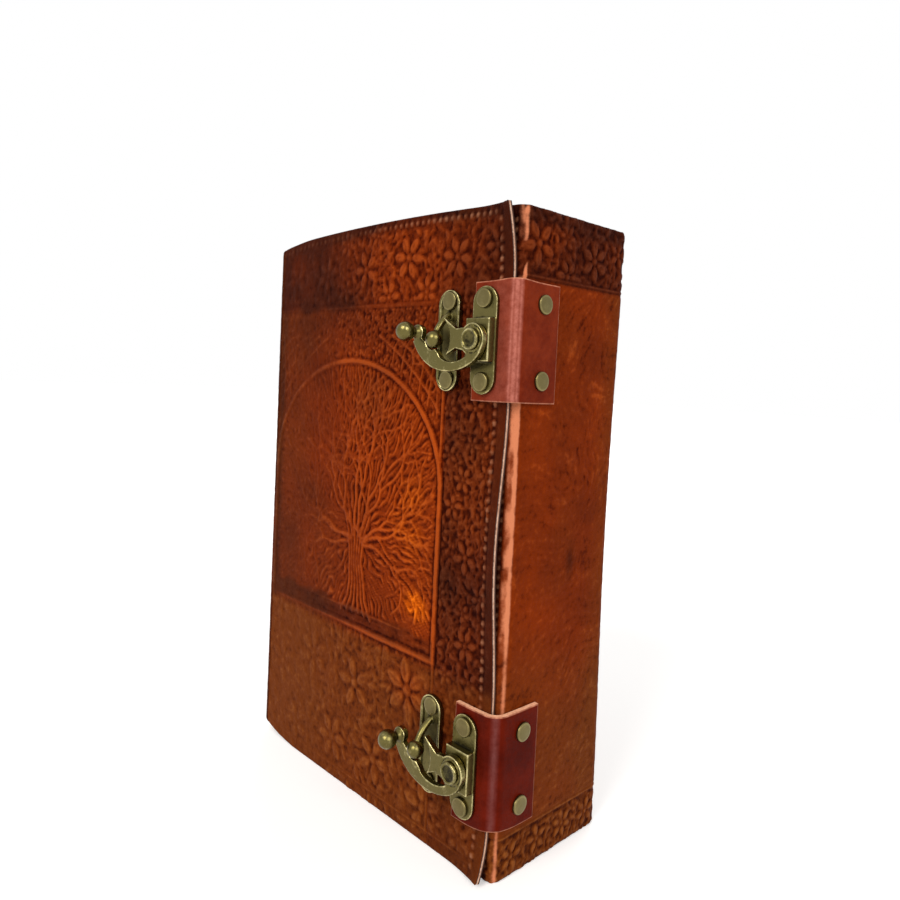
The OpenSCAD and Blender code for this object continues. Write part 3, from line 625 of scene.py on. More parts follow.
# Glow and brown of the front: base values blended at the band and the strip, plus fades
def toneFront(press, x, z, ground, low, bloom):
    p, t = pressing, frontTone
    uneven = z + 5 * swayAt(x, z, 8, 53)
    band = smoothStep(p["bandFoot"] - 3, p["bandFoot"] + 2, uneven)
    strip = smoothStep(p["borderX"] + 1, p["stripX0"] + 1, x)
    # painted light: the spots add a painted pool of light in the arch, and the fades across and up add
    # painted shade towards the spine side and the top
    glow = t["base"] + spots(x, z, t["spots"]) + fades(x, t["across"]) + fades(z, t["up"])
    glow = blend(glow, t["bandBase"] + spots(x, 0, t["bandSpots"]), band)
    glow = blend(glow, t["stripBase"] + fades(z, t["stripUp"]), strip * (1 - band))
    glow = glow + fades(x, t["edges"]) + fades(headHeight(x) - z, t["head"]) - t["ground"] * ground
    glow = glow + t["mottle"] * swayAt(x, z, 22, 51) + t["bloomGlow"] * bloom * low
    press["glow"] = np.clip(glow, 0, 1.5)
    olive = t["lowOlive"] * low * (1 - t["stripOlive"] * strip) + fades(x, t["spineOlive"])
    olive = olive + fades(x, t["leftOlive"]) * (1 - band) - t["bloomOlive"] * bloom * low
    press["olive"] = np.clip(olive + t["oliveMottle"] * swayAt(x, z, 30, 61), 0, 1)


# The front: flowered bands and strip, knots, the tree and the strands about it in the arch, the
# rim and border lines, and beads along the cut edge and the head
def makeFrontMap():
    p = pressing
    rng = np.random.default_rng(p["seed"])
    press, x, z = blankMap(-86, 84)
    far = archDistance(x, z)
    edge, foot, band = p["borderX"], p["archFoot"], p["bandFoot"]
    pressMeadow(press, (-80, edge, 150, band), 3.6, 21, clear=lambda *at: archDistance(*at) < 2.0)
    pressMeadow(press, (-80, 76, band + 2, 253), 7.0, 22, p["bandFlowers"], 1.5)
    pressMeadow(press, (p["stripX0"], p["stripX1"], 6, band), 5.2, 23, p["stripFlowers"], 1.6)
    pressMeadow(press, (-80, edge, 4, p["lowTop"]), 10.0, 24, p["lowFlowers"], 1.8)
    knots = likeMap(press)
    for side in (1, -1):
        pressKnots(knots, side)
    layOver(press, knots, 2)
    tree = likeMap(press)
    pressTree(tree, rng)
    groundTop = foot + p["groundRise"] + 7.0 * swayAt(x, z, 10, 33)
    ground = (far < 0) * smoothStep(groundTop + 1.5, groundTop - 1.5, z)
    roots = 0.6 * np.clip(1 - 1.7 * np.abs(2 * cloudAt(x / 4, z, 2.0, 31, 2) - 1), 0, 1)
    press["h"] = np.where(far < 0, blend(0.9 * strandField(x, z), roots, ground), press["h"])
    layOver(press, tree, 2, 0.75)
    frameWork = likeMap(press)
    faded = 1 - 0.45 * smoothStep(10, -60, x) * smoothStep(foot + 6, foot + 2, z)
    rim = dome(np.abs(far) / (p["rimWidth"] / 2)) * (z > foot - 1)
    frameWork["h"] = rim * (0.74 + 0.5 * cloudAt(x, z, 7, 35)) * faded
    lines = [((edge, foot), (edge, 211), 1.6), ((-80, band), (40, band), 0.9),
             ((-80, 6), (76, 6), 0.9), ((edge + 1, 6), (edge + 1, foot), 1.0)]
    pressLines(frameWork, lines, 0.85)
    layOver(press, frameWork, 4, 1.0)
    beads = [(p["beadX"], h) for h in np.arange(6, 253, p["beadPitch"])]
    beads += [(b, headHeight(b) - p["beadFromHead"]) for b in np.arange(-78, 76, p["beadPitch"])]
    pressBeads(press, beads, rng)
    press["pale"] = press["pale"] * (0.15 + 0.85 * smoothStep(-20, 55, x))
    press["h"] = blend(press["h"], 0.5, smoothStep(*p["hem"], x))
    # the side by the spine is rubbed softer and flatter than the fore-edge
    low = smoothStep(p["lowTop"] + 3, p["lowTop"] - 4, z)
    bloom = spots(x, z, frontTone["bloom"])
    calm = 0.62 * smoothStep(5, -55, x) + 0.35 * low * (1 - bloom) + 0.25 * (z > band)
    keep = (0.55 + 0.6 * smoothStep(-70, 10, x)) * (1 - 0.25 * low)
    finishMap(press, x, z, 41, keep, np.clip(calm, 0, 0.8))
    toneFront(press, x, z, ground, low, bloom)
    return press


# Stain and rubbing of the flap, with painted shade where it tucks under the cover and on its back
# fold, and a painted highlight on its front fold, the same way, across y and up z
flapTone = {
    "middle": ((17, 18.5), (230, 228.5)), "high": (228.5, 231), "tucked": (-33.6, -34.8),
    "base": 0.66, "bandBase": 0.12, "across": [(12, 33, 0.08)], "up": [(110, 35, 0.08)],
    "stripe": [(-18, 0, 13, 1, 0.16)], "mottle": 0.55,
    "headSpots": [(-20, 245, 11, 9, 0.30)], "scar": [(5.3, 120, 2.6, 6.0, -0.45)],
    "headFade": [(8, 1, -0.35)], "footFade": [(8, 2, -0.35)], "backFoldShade": [(33, 38, -0.25)],
    "lowOlive": [(110, 35, 0.85)], "backOlive": [(12, 33, 0.55)], "oliveMottle": 0.5,
    "shade": 0.9, "toneShade": 0.35, "broadWearAndSheen": 0.70, "lineWear": 0.60, "line": (1.1, 0.75),
}


# Hair is a stretched noise whose direction turns slowly over the flap
def pressHair(y, z):
    lean = np.radians(30 + 0.12 * (z - 128) + 40 * swayAt(y, z, 50, 90))
    along = y * np.cos(lean) + z * np.sin(lean)
    across = -y * np.sin(lean) + z * np.cos(lean)
    clump = swayAt(along / 2.2, across, 4.0, 95, 2)
    return swayAt(along / 4, across, 1.3, 91), clump * smoothStep(0.45, 0.66, cloudAt(y, z, 17, 97))


# The flap: flowered bands at head and foot, and smooth leather with a fine feathered grain
# between them, whose hair lies in whorls
def makeFlapMap():
    p, t = pressing, flapTone
    press, y, z = blankMap(-46, 46)
    pressMeadow(press, (-34, 40, 232, 256), 7.0, 81, p["flapTopFlowers"], 1.8)
    pressMeadow(press, (-34, 40, 1, 15), 4.5, 82, p["flapFootFlowers"], 1.6)
    lines = likeMap(press)
    pressLines(lines, p["flapLines"], 0.9)
    layOver(press, lines, 3)
    (low0, low1), (top0, top1) = t["middle"]
    inMiddle = smoothStep(low0, low1, z) * smoothStep(top0, top1, z)
    hair, clump = pressHair(y, z)
    press["h"] = blend(press["h"], 0.62 + 0.20 * hair, inMiddle)
    rng = np.random.default_rng(p["seed"] + 1)
    pressBeads(press, [(p["foldBeads"], h) for h in np.arange(6, 253, p["beadPitch"])], rng)
    finishMap(press, y, z, 83)
    tone = np.clip(blend(press["tone"], 0.5 + 0.40 * (hair + clump), inMiddle), 0, 1)
    tucked, high = smoothStep(*t["tucked"], y), smoothStep(*t["high"], z)
    press["tone"] = tone * (1 - t["toneShade"] * tucked)
    glow = t["base"] + fades(y, t["across"]) + fades(z, t["up"]) + spots(y, 0, t["stripe"])
    glow = blend(t["bandBase"], glow + t["mottle"] * swayAt(y, z, 20, 84), inMiddle)
    glow = glow + high * spots(y, z, t["headSpots"]) + spots(y, z, t["scar"])
    glow = glow + fades(headHeight(halfW) - z, t["headFade"]) + fades(z, t["footFade"])
    # painted shade: where the fold tucks under the front cover's cut edge, its tone, glow and brown
    # are darkened
    unshadedShare = 1 - t["shade"] * tucked
    # painted shade on the rounded back fold, where it turns away from the light
    press["glow"] = np.clip((glow + fades(y, t["backFoldShade"])) * unshadedShare, 0, 1)
    olive = fades(z, t["lowOlive"]) + fades(y, t["backOlive"]) * inMiddle
    olive = olive + t["oliveMottle"] * swayAt(y, z, 24, 86)
    press["olive"] = np.clip(olive * (1 - high) * unshadedShare, 0, 1)
    # the rounded fold is rubbed pale and carries a painted highlight: a broad band of wear and painted
    # sheen, and a bright painted highlight line where it turns onto the flap
    off = y - p["foldShine"]
    patch = smoothStep(0.25, 0.75, cloudAt(y * 2.2, z, 7, 87))
    broadSheen = smoothStep(-2.8, -1.0, off) * smoothStep(2.5, 1.5, off)
    broadSheen = broadSheen * (0.15 + 0.85 * smoothStep(66, 120, z)) * (0.22 + 0.95 * patch)
    line = np.exp(-((off - t["line"][0]) / t["line"][1]) ** 2) * (0.75 + 0.5 * patch)
    gaps = 1 - high * smoothStep(0.50, 0.62, cloudAt(y, z, 7, 88))
    press["wear"] = np.clip((t["broadWearAndSheen"] * broadSheen + t["lineWear"] * line) * gaps, 0, 1)
    return press


plainFace = {"bands": ((10, 24), (234, 248)), "inset": 18, "lines": (27, 231), "lineWidth": 1.3,
             "base": 0.46, "bendDark": 0.5, "cloud": 0.9, "olive": 0.35, "bend": (27, 34),
             "up": [(225, 256, -0.30), (24, 4, -0.20)]}


# Spine and back have plain leather, and the back narrow flowered bands and a border line
def makePlainMap(reach, bordered, seed):
    f = plainFace
    press, x, z = blankMap(-reach, reach)
    press["h"] = 0.62 + 0.22 * swayAt(x, z, 3.0, seed)
    if bordered:
        a = reach - f["inset"]
        for z0, z1 in f["bands"]:
            cells, _, _ = windowOf(press, -a, a, z0, z1)
            press["h"][cells] = 0.0
            box = (-a + 2, a - 2, z0 + 2, z1 - 2)
            pressMeadow(press, box, 5.0, seed + 1, density=1.5)
        border = likeMap(press)
        corners = [(x0, z0) for x0 in (-a, a) for z0 in f["lines"]]
        sides = [(corners[i], corners[j], f["lineWidth"]) for i, j in ((0, 2), (1, 3), (0, 1), (2, 3))]
        pressLines(border, sides, 0.95)
        layOver(press, border, 3)
    finishMap(press, x, z, seed + 2)
    bend = 0 if bordered else smoothStep(*f["bend"], np.abs(x))
    glow = f["base"] - f["bendDark"] * bend + f["cloud"] * swayAt(x, z, 34, seed + 3)
    press["glow"] = np.clip(glow + fades(z, f["up"]), 0, 1)
    olive = (f["olive"] + swayAt(x, z, 40, seed + 4)) * (1 - 0.7 * bend)
    press["olive"] = np.clip(olive, 0, 1)
    return press


# The leather as folded shells


# How far a point has gone over towards the spine, squared
def spineShare(x):
    start = journal["dipFrom"]
    return (np.maximum(0, start - x) / (halfW + start)) ** 2


# Head of the cover: a long bow with its top near the middle and an extra dip at the spine
def headHeight(x):
    j = journal
    bow = ((x - j["bowMiddle"]) / (halfW - j["bowMiddle"])) ** 2
    return j["height"] - j["headBow"] * bow - (j["dipHead"] - j["headBow"]) * spineShare(x)


# Foot of the cover: it rises with the squared way towards the spine
def footHeight(x):
    return journal["dipFoot"] * spineShare(x)


# Stand of the cut edge: none at the tabs, a power curve to each corner, a bulge between the tabs
def edgeStand(z):
    j = journal
    half = j["tabHeight"] / 2 + j["tabHold"]
    top1, top0 = j["upperClasp"] - half, j["upperClasp"] + half
    low1, low0 = j["lowerClasp"] + half, j["lowerClasp"] - half
    head = headHeight(edgeX)
    high = j["cornerCurl"] * np.clip((z - top0) / (head - top0), 0, 1) ** 1.8
    middle = j["edgeBulge"] * np.sin(np.pi * np.clip((z - low1) / (top1 - low1), 0, 1)) ** 2
    low = j["cornerCurl"] * np.clip((low0 - z) / low0, 0, 1) ** 1.8
    return high + middle + low


# The back edge of the flap is pulled in at mid height, with a squared sine over the height
def waistPull(x, y, z):
    rise = np.sin(np.pi * np.clip(z / journal["height"], 0, 1)) ** 2
    return journal["waist"] * rise * smoothStep(-5, 33, y) * smoothStep(15, 79, x)


# Columns of a sheet along a straight run: place, outward direction and place on the flat map
def straightRun(a, b, m0, m1, n):
    t = np.linspace(0, 1, n)[:, None]
    a, b = np.array(a, float), np.array(b, float)
    d = (b - a) / np.linalg.norm(b - a)
    return np.column_stack([a + (b - a) * t, np.tile([d[1], -d[0]], (n, 1)), m0 + (m1 - m0) * t])


# The same along an arc about a centre, from one angle to another
def bendRun(centre, radius, a0, a1, m0, m1, n):
    out = np.column_stack(compass(np.linspace(a0, a1, n)))
    return np.column_stack([np.array(centre) + radius * out, out, np.linspace(m0, m1, n)])


# Runs end to end, without the column that two of them share
def joinRuns(*runs):
    return np.concatenate([runs[0]] + [r[1:] for r in runs[1:]])


# A few columns of a run, for an inner face that is hardly seen
def thinned(run, n):
    return run[np.linspace(0, len(run) - 1, n).astype(int)]


# Rows of a sheet from foot to head, closer together at both cut edges
def heightRows(n):
    rim = np.array([0, 0.0010, 0.0024])
    return np.concatenate([rim, np.linspace(0.0048, 0.9952, n - 6), 1 - rim[::-1]])


# A sheet before embossing: columns in plan swept up between the foot and the head, with the
# curl of the cut edge, the rise of its corner and the waist of the back edge
def sweepSheet(columns, rows, curl, inward=0.0):
    x0, y0 = (columns[:, :2] - columns[:, 2:4] * inward).T
    s = np.clip((columns[:, 0] - curlX) / journal["curlWidth"], 0, 1) if curl else 0 * x0
    foot = footHeight(columns[:, 0]) + journal["cornerRise"] * s ** 2
    z = foot + (headHeight(columns[:, 0]) - foot) * rows[:, None]
    x = np.broadcast_to(x0, z.shape)
    y = y0 - s ** 2 * edgeStand(z)
    return np.stack([x, y - waistPull(x, y, z), z], -1)


# Unit directions out of a grid of points, from the cross product of its two slopes
def gridNormals(grid):
    out = np.cross(np.gradient(grid, axis=1), np.gradient(grid, axis=0))
    return out / np.maximum(np.linalg.norm(out, axis=-1, keepdims=True), 1e-12)


# Corner indices of the squares of a grid whose first point has the index start
def gridFaces(nv, nu, start=0):
    i, j = np.meshgrid(np.arange(nu - 1), np.arange(nv - 1))
    a = start + j * nu + i
    return np.stack([a, a + 1, a + nu + 1, a + nu], -1).reshape(-1, 4)


# Corner indices of the squares round a tube of n rings with k points each
def ringFaces(n, k):
    i, j = np.meshgrid(np.arange(k), np.arange(n - 1))
    near, far = j * k, (j + 1) * k
    return np.stack([near + i, far + i, far + (i + 1) % k, near + (i + 1) % k], -1).reshape(-1, 4)


# A closed shell of an outer and an inner grid with the same rows: the two grids, a wall at each
# end and an edge at foot and head, where each stretch of the inner row takes in several columns.
# Each part is its faces, its material and whether it is shaded smooth
def closeShell(outer, inner, startKind, endKind, edgeKind):
    nv, nu = outer.shape[:2]
    mu = inner.shape[1]
    base = nv * nu
    points = np.concatenate([outer.reshape(-1, 3), inner.reshape(-1, 3)])
    a, b = np.arange(nv - 1), np.arange(1, nv)
    startWall = np.column_stack([a * nu, b * nu, base + b * mu, base + a * mu])
    endWall = np.column_stack([a * nu + nu - 1, base + a * mu + mu - 1,
                               base + b * mu + mu - 1, b * nu + nu - 1])
    parts = [(gridFaces(nv, nu), 0, True), (gridFaces(nv, mu, base)[:, ::-1], 2, True),
             (startWall, startKind, False), (endWall, endKind, False)]
    stops = np.round(np.linspace(0, nu - 1, mu)).astype(int)
    spans = [np.arange(stops[k], stops[k + 1] + 1) for k in range(mu - 1)]
    top = base + (nv - 1) * mu
    foot = [np.concatenate([span[::-1], [base + k, base + k + 1]]) for k, span in enumerate(spans)]
    head = [np.concatenate([(nv - 1) * nu + span, [top + k + 1, top + k]])
            for k, span in enumerate(spans)]
    return points, parts + [(face[None], edgeKind, False) for face in foot + head]


# A number at each point for the materials to read
def setLayer(mesh, key, values):
    layer = mesh.attributes.new(key, "FLOAT", "POINT")
    layer.data.foreach_set("value", np.asarray(values, np.float32).ravel())


# What a piece rides on, and the solid it stands for, which is hidden
def settlePiece(piece, body, node):
    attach(piece, body)
    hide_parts(node)


# Puts points and parts into a mesh object that sits at the origin, in metres
def makePiece(name, points, parts, materials, layers, node):
    sizes = [len(faces) for faces, _, _ in parts]
    loops = np.concatenate([faces.ravel() for faces, _, _ in parts]).astype(np.int32)
    totals = np.repeat([faces.shape[1] for faces, _, _ in parts], sizes)
    starts = np.concatenate([[0], np.cumsum(totals)[:-1]]).astype(np.int32)
    kinds = np.repeat([kind for _, kind, _ in parts], sizes).astype(np.int32)
    smooth = np.repeat([soft for _, _, soft in parts], sizes)
    placed = (np.asarray(points) + journal["shift"]) * millimetre
    mesh = bpy.data.meshes.new(name)
    mesh.vertices.add(len(points))
    mesh.vertices.foreach_set("co", placed.astype(np.float32).ravel())
    mesh.loops.add(len(loops))
    mesh.loops.foreach_set("vertex_index", loops)
    mesh.polygons.add(len(totals))
    mesh.polygons.foreach_set("loop_start", starts)
    mesh.polygons.foreach_set("material_index", kinds)
    mesh.polygons.foreach_set("use_smooth", smooth)
    mesh.update(calc_edges=True)
    for key, values in layers.items():
        setLayer(mesh, key, values)
    for material in materials:
        mesh.materials.append(material)
    piece = bpy.data.objects.new(name, mesh)
    bpy.context.scene.collection.objects.link(piece)
    settlePiece(piece, "journal", node)


embossing = {"relief": 0.8, "edgeDrop": 0.5, "edgeWidth": 0.9}
innerValues = {"tone": 0.35, "glow": 0.1, "olive": 0.3, "wear": 0.0, "pale": 0.0}
coverGrid = {"seam": 49.6, "panelColumns": 276, "stripColumns": 74, "faceRows": 330,
             "flapColumns": 130, "backColumns": 190, "spineColumns": 120, "plainRows": 250}


# One piece of the cover: a swept sheet, embossed by its map, with softened cut edges
def makeCover(name, columns, innerColumns, rowCount, press, curl=False, walls=(0, 0)):
    e, rows = embossing, heightRows(rowCount)
    grid = sweepSheet(columns, rows, curl)
    m, z = np.broadcast_to(columns[:, 4], grid.shape[:2]), grid[..., 2]
    fromEdge = np.minimum(z - z[:1], z[-1:] - z)
    drop = e["edgeDrop"] * np.clip(1 - fromEdge / e["edgeWidth"], 0, 1) ** 2
    lift = (readMap(press, "h", m, z) - 1) * e["relief"] - drop
    outer = grid + gridNormals(grid) * lift[..., None]
    outer[..., 2] = z
    inner = sweepSheet(innerColumns, rows, curl, leatherT)
    points, parts = closeShell(outer, inner, *walls, 3)
    count = inner.shape[0] * inner.shape[1]
    layers = {"depth": np.repeat([0, 1], [m.size, count])}
    for key, value in innerValues.items():
        layers[key] = np.concatenate([readMap(press, key, m, z).ravel(), np.full(count, value)])
    materials = [embossedLeather, rawEdge, stuff["fleshSide"], stuff["burnishedEdge"]]
    makePiece(name, points, parts, materials, layers, "leather_cover")


# The front is two pieces that share a map, so that neither has too many faces
def makeCovers():
    g, j = coverGrid, journal
    fold, lip, r, seam = j["foldRadius"], j["lipFoldRadius"], j["edgeRound"], g["seam"]
    left = -halfW + fold
    front = makeFrontMap()
    print("front map pressed")
    panel = straightRun((left, -halfT), (seam, -halfT), left, seam, g["panelColumns"])
    makeCover("coverPanel", panel, thinned(panel, 8), g["faceRows"], front, True)
    end = edgeX - r
    strip = joinRuns(straightRun((seam, -halfT), (end, -halfT), seam, end, g["stripColumns"]),
                     bendRun((end, -halfT + r), r, -90, 0, end, edgeX, 5))
    back = straightRun((seam, -halfT), (edgeX, -halfT), seam, edgeX, 14)
    makeCover("coverStrip", strip, back, g["faceRows"], front, True, (0, 1))
    print("front cover done")
    y0, y1, n = lipY + lip, halfT - fold, g["flapColumns"]
    arc0, arc1, tuck = lip * np.pi / 2, fold * np.pi / 2, j["lipReach"] - lip
    columns = joinRuns(
        straightRun((halfW - lip - tuck, lipY), (halfW - lip, lipY),
                    y0 - arc0 - tuck, y0 - arc0, n // 8),
        bendRun((halfW - lip, y0), lip, -90, 0, y0 - arc0, y0, n // 7),
        straightRun((halfW, y0), (halfW, y1), y0, y1, n),
        bendRun((halfW - fold, y1), fold, 0, 90, y1, y1 + arc1, n // 8))
    makeCover("coverFlap", columns, columns, g["faceRows"], makeFlapMap(), walls=(1, 0))
    print("flap done")
    run = straightRun((-left, halfT), (left, halfT), -left, left, g["backColumns"])
    makeCover("coverBack", run, thinned(run, 12), g["plainRows"], makePlainMap(86, True, 141))
    spine = makePlainMap(40, False, 181)
    pressSewing(spine)
    run = joinRuns(bendRun((left, y1), fold, 90, 180, y1 + arc1, y1, 18),
                   straightRun((-halfW, y1), (-halfW, -y1), y1, -y1, g["spineColumns"]),
                   bendRun((left, -y1), fold, 180, 270, -y1, -y1 - arc1, 18))
    makeCover("coverSpine", run, run, g["plainRows"], spine)
    print("back and spine done")


# Sewing, pages and tabs
sewing = {"sections": 8, "stitches": 4, "length": 40.0, "pitch": 52.0, "diameter": 1.1,
          "corner": 0.9, "twistPitch": 3.6, "swell": 0.16, "sides": 8, "steps": 96}
pageGap = 0.3
pagesY0, pagesY1 = -halfT + leatherT + pageGap, halfT - leatherT - pageGap
sectionT = (pagesY1 - pagesY0) / sewing["sections"]


# One row of stitches for each section, middled on the height
def stitchPlaces():
    s = sewing
    z0 = (journal["height"] - (s["stitches"] - 1) * s["pitch"] - s["length"]) / 2
    return [(pagesY0 + sectionT * (row + 0.5), z0 + s["pitch"] * k)
            for row in range(s["sections"]) for k in range(s["stitches"])]


# The thread draws the leather in along each stitch and more at the two holes
def pressSewing(press):
    length = sewing["length"]
    for y, z0 in stitchPlaces():
        z1 = z0 + length
        cells, wy, wz = windowOf(press, y - 3, y + 3, z0 - 4, z1 + 4)
        along = smoothStep(z0 - 1, z0 + 1, wz) * smoothStep(z1 + 1, z1 - 1, wz)
        sink = 0.30 * along * np.exp(-((wy - y) / 0.8) ** 2)
        for end in (z0, z1):
            sink = sink + 0.75 * np.exp(-((wy - y) ** 2 + (wz - end) ** 2) / 0.9)
        press["h"][cells] -= sink
        press["tone"][cells] = np.clip(press["tone"][cells] - 0.5 * sink, 0, 1)


# Every stitch is a tube along a path of two legs and a run with round corners between them,
# its radius swelling twice round the ring as it twists, like a thread of two plies
def makeThread():
    s = sewing
    r, c, end, k = s["diameter"] / 2, s["corner"], s["length"], s["sides"]
    xOut, xIn = -halfW - r + 0.1, -halfW + leatherT + 1.2
    legs = np.array([xIn, (xIn + xOut) / 2])
    cos, sin = compass(np.linspace(0, 90, 7))
    steps = np.linspace(c, end - c, s["steps"] + 2)[1:-1]
    path = np.concatenate([
        np.column_stack([legs, [0, 0]]),
        np.column_stack([xOut + c - c * sin, c - c * cos]),
        np.column_stack([np.full(s["steps"], xOut), steps]),
        np.column_stack([xOut + c - c * cos, end - c + c * sin]),
        np.column_stack([legs[::-1], [end, end]])])
    tangent = np.gradient(path, axis=0)
    tangent /= np.linalg.norm(tangent, axis=1, keepdims=True)
    along = np.concatenate([[0], np.cumsum(np.linalg.norm(np.diff(path, axis=0), axis=1))])
    theta = 2 * np.pi * np.arange(k) / k
    twist = np.abs(np.cos(theta[None, :] - np.pi * along[:, None] / s["twistPitch"]))
    radius = r * (1 - s["swell"] + s["swell"] * twist)
    ring = np.stack([path[:, None, 0] - radius * np.cos(theta) * tangent[:, None, 1],
                     radius * np.sin(theta),
                     path[:, None, 1] + radius * np.cos(theta) * tangent[:, None, 0]], -1)
    n = len(path)
    points, parts = [], []
    for count, (y, z) in enumerate(stitchPlaces()):
        first = count * n * k
        points.append(ring.reshape(-1, 3) + [0, y, z])
        ends = np.arange(k)[None], (np.arange(k)[::-1] + (n - 1) * k)[None]
        parts += [(faces + first, 0, True) for faces in (ringFaces(n, k), *ends)]
    makePiece("bindingThread", np.concatenate(points), parts, [stuff["waxedThread"]], {},
              "binding_thread")
    print("thread done")


pages = {"square": 4.0, "leaves": 14, "alongSteps": 26, "foreGap": 2.8, "creep": 1.5,
         "slopeLength": 28.0, "apart": 0.12, "ridge": 0.45, "uneven": 0.6, "turn": 137.0,
         "groove": 0.9, "endGroove": 9.0, "seed": 5}


# How far the head of a section lies below the edges of its longest leaves: a groove beside its
# neighbours, valleys between its leaves, and leaves and sections that differ a little
def leafFall(s, x, y, across, leafEdge, rng):
    p = pages
    leaf = np.clip(((across + 1) / 2 * p["leaves"]).astype(int), 0, p["leaves"] - 1)[None, :]
    uneven = rng.uniform(-0.25, 0.10, p["leaves"])[leaf]
    wobble = 0.25 * (noiseAt(x[:, None] + 9 * leaf, y * 0 + leaf * 7.3 + 40 * s, 7.0, 6) - 0.5)
    inset = p["uneven"] * (0.5 + 0.5 * np.sin(np.radians(p["turn"] * s)))
    below = y - pagesY0 + p["endGroove"] * (s == 0)
    above = pagesY1 - y + p["endGroove"] * (s == sewing["sections"] - 1)
    apart = np.minimum(below, above) % sectionT
    valley = p["groove"] - np.minimum(apart, sectionT - apart)
    return np.maximum(inset, valley) + 0.2 + p["ridge"] * (1 - leafEdge)[None, :] - uneven - wobble


# Each section is a slab with a round back. Its head and foot are grids whose height falls
# between the leaves, and a wall joins them all round
def makePages():
    p, j = pages, journal
    rng = np.random.default_rng(p["seed"])
    spineIn, foreIn = -halfW + leatherT + pageGap, halfW - leatherT - p["foreGap"]
    z0, z1 = p["square"], j["height"] - p["square"] - j["dipHead"]
    slopeX1 = halfW - j["lipReach"] - 1
    slopeX0 = slopeX1 - p["slopeLength"]
    across = np.linspace(-1, 1, p["leaves"] * 4 + 1)
    leafEdge = np.abs(np.sin(np.pi * (across + 1) / 2 * p["leaves"])) ** 0.4
    t = np.concatenate([[0.0, 0.002, 0.006, 0.013, 0.024], np.linspace(0.05, 1, p["alongSteps"])])
    nx, na = len(t), len(across)
    size = nx * na
    rim = np.concatenate([np.arange(na), np.arange(1, nx) * na + na - 1,
                          (nx - 1) * na + np.arange(na - 2, -1, -1), np.arange(nx - 2, 0, -1) * na])
    wall = np.column_stack([rim, np.roll(rim, -1), np.roll(rim, -1) + size, rim + size])
    points, parts = [], []
    for s in range(sewing["sections"]):
        r = sectionT / 2 - p["apart"]
        yc = pagesY0 + sectionT * (s + 0.5)
        end = foreIn - p["creep"] + p["creep"] * np.sin(np.pi * (s + 0.5) / sewing["sections"])
        x = spineIn + (end - spineIn) * t
        half = np.sqrt(r * r - (r - np.clip(x - spineIn, 0.02, r)) ** 2)
        share = np.clip((x - slopeX0) / (slopeX1 - slopeX0), 0, 1)
        slope = pagesY0 + (lipY + leatherT + pageGap - pagesY0) * share
        low, high = np.maximum(yc - half, slope + 0.05), np.maximum(yc + half, slope + 0.1)
        y = low[:, None] + (high - low)[:, None] * (across + 1) / 2
        y = y - waistPull(x[:, None], y, j["height"] / 2)
        fall = leafFall(s, x, y, across, leafEdge, rng)
        xx = np.broadcast_to(x[:, None], y.shape)
        for z in (z1 - fall, z0 + fall):
            points.append(np.stack([xx, y, z], -1).reshape(-1, 3))
        first = 2 * size * s
        parts += [(gridFaces(nx, na, first)[:, ::-1], 0, True),
                  (gridFaces(nx, na, first + size), 0, True), (wall + first, 0, False)]
    layers = {"leafEdge": np.tile(leafEdge, nx * len(points))}
    makePiece("pageBlock", np.concatenate(points), parts, [stuff["paper"]], layers,
              "page_block")
    print("pages done")


tabs = {
    "thickness": 2.2, "front": 19.5, "side": 22.0, "radius": 4.0, "columns": 80, "rows": 60,
    "arcShare": 0.785, "cornerWidth": 8.0, "edgeFall": 0.35, "wave": 0.10,
    # per tab: the bow of top and foot, shine the half width of the painted sheen down the corner,
    # front the strength of the painted sheen over the front face, and a seed
    "upper": {"bowTop": 0.7, "bowFoot": 0.2, "shine": 2.2, "front": 0.20, "seed": 201},
    "lower": {"bowTop": 0.3, "bowFoot": 1.8, "shine": 1.5, "front": 0.04, "seed": 211},
}


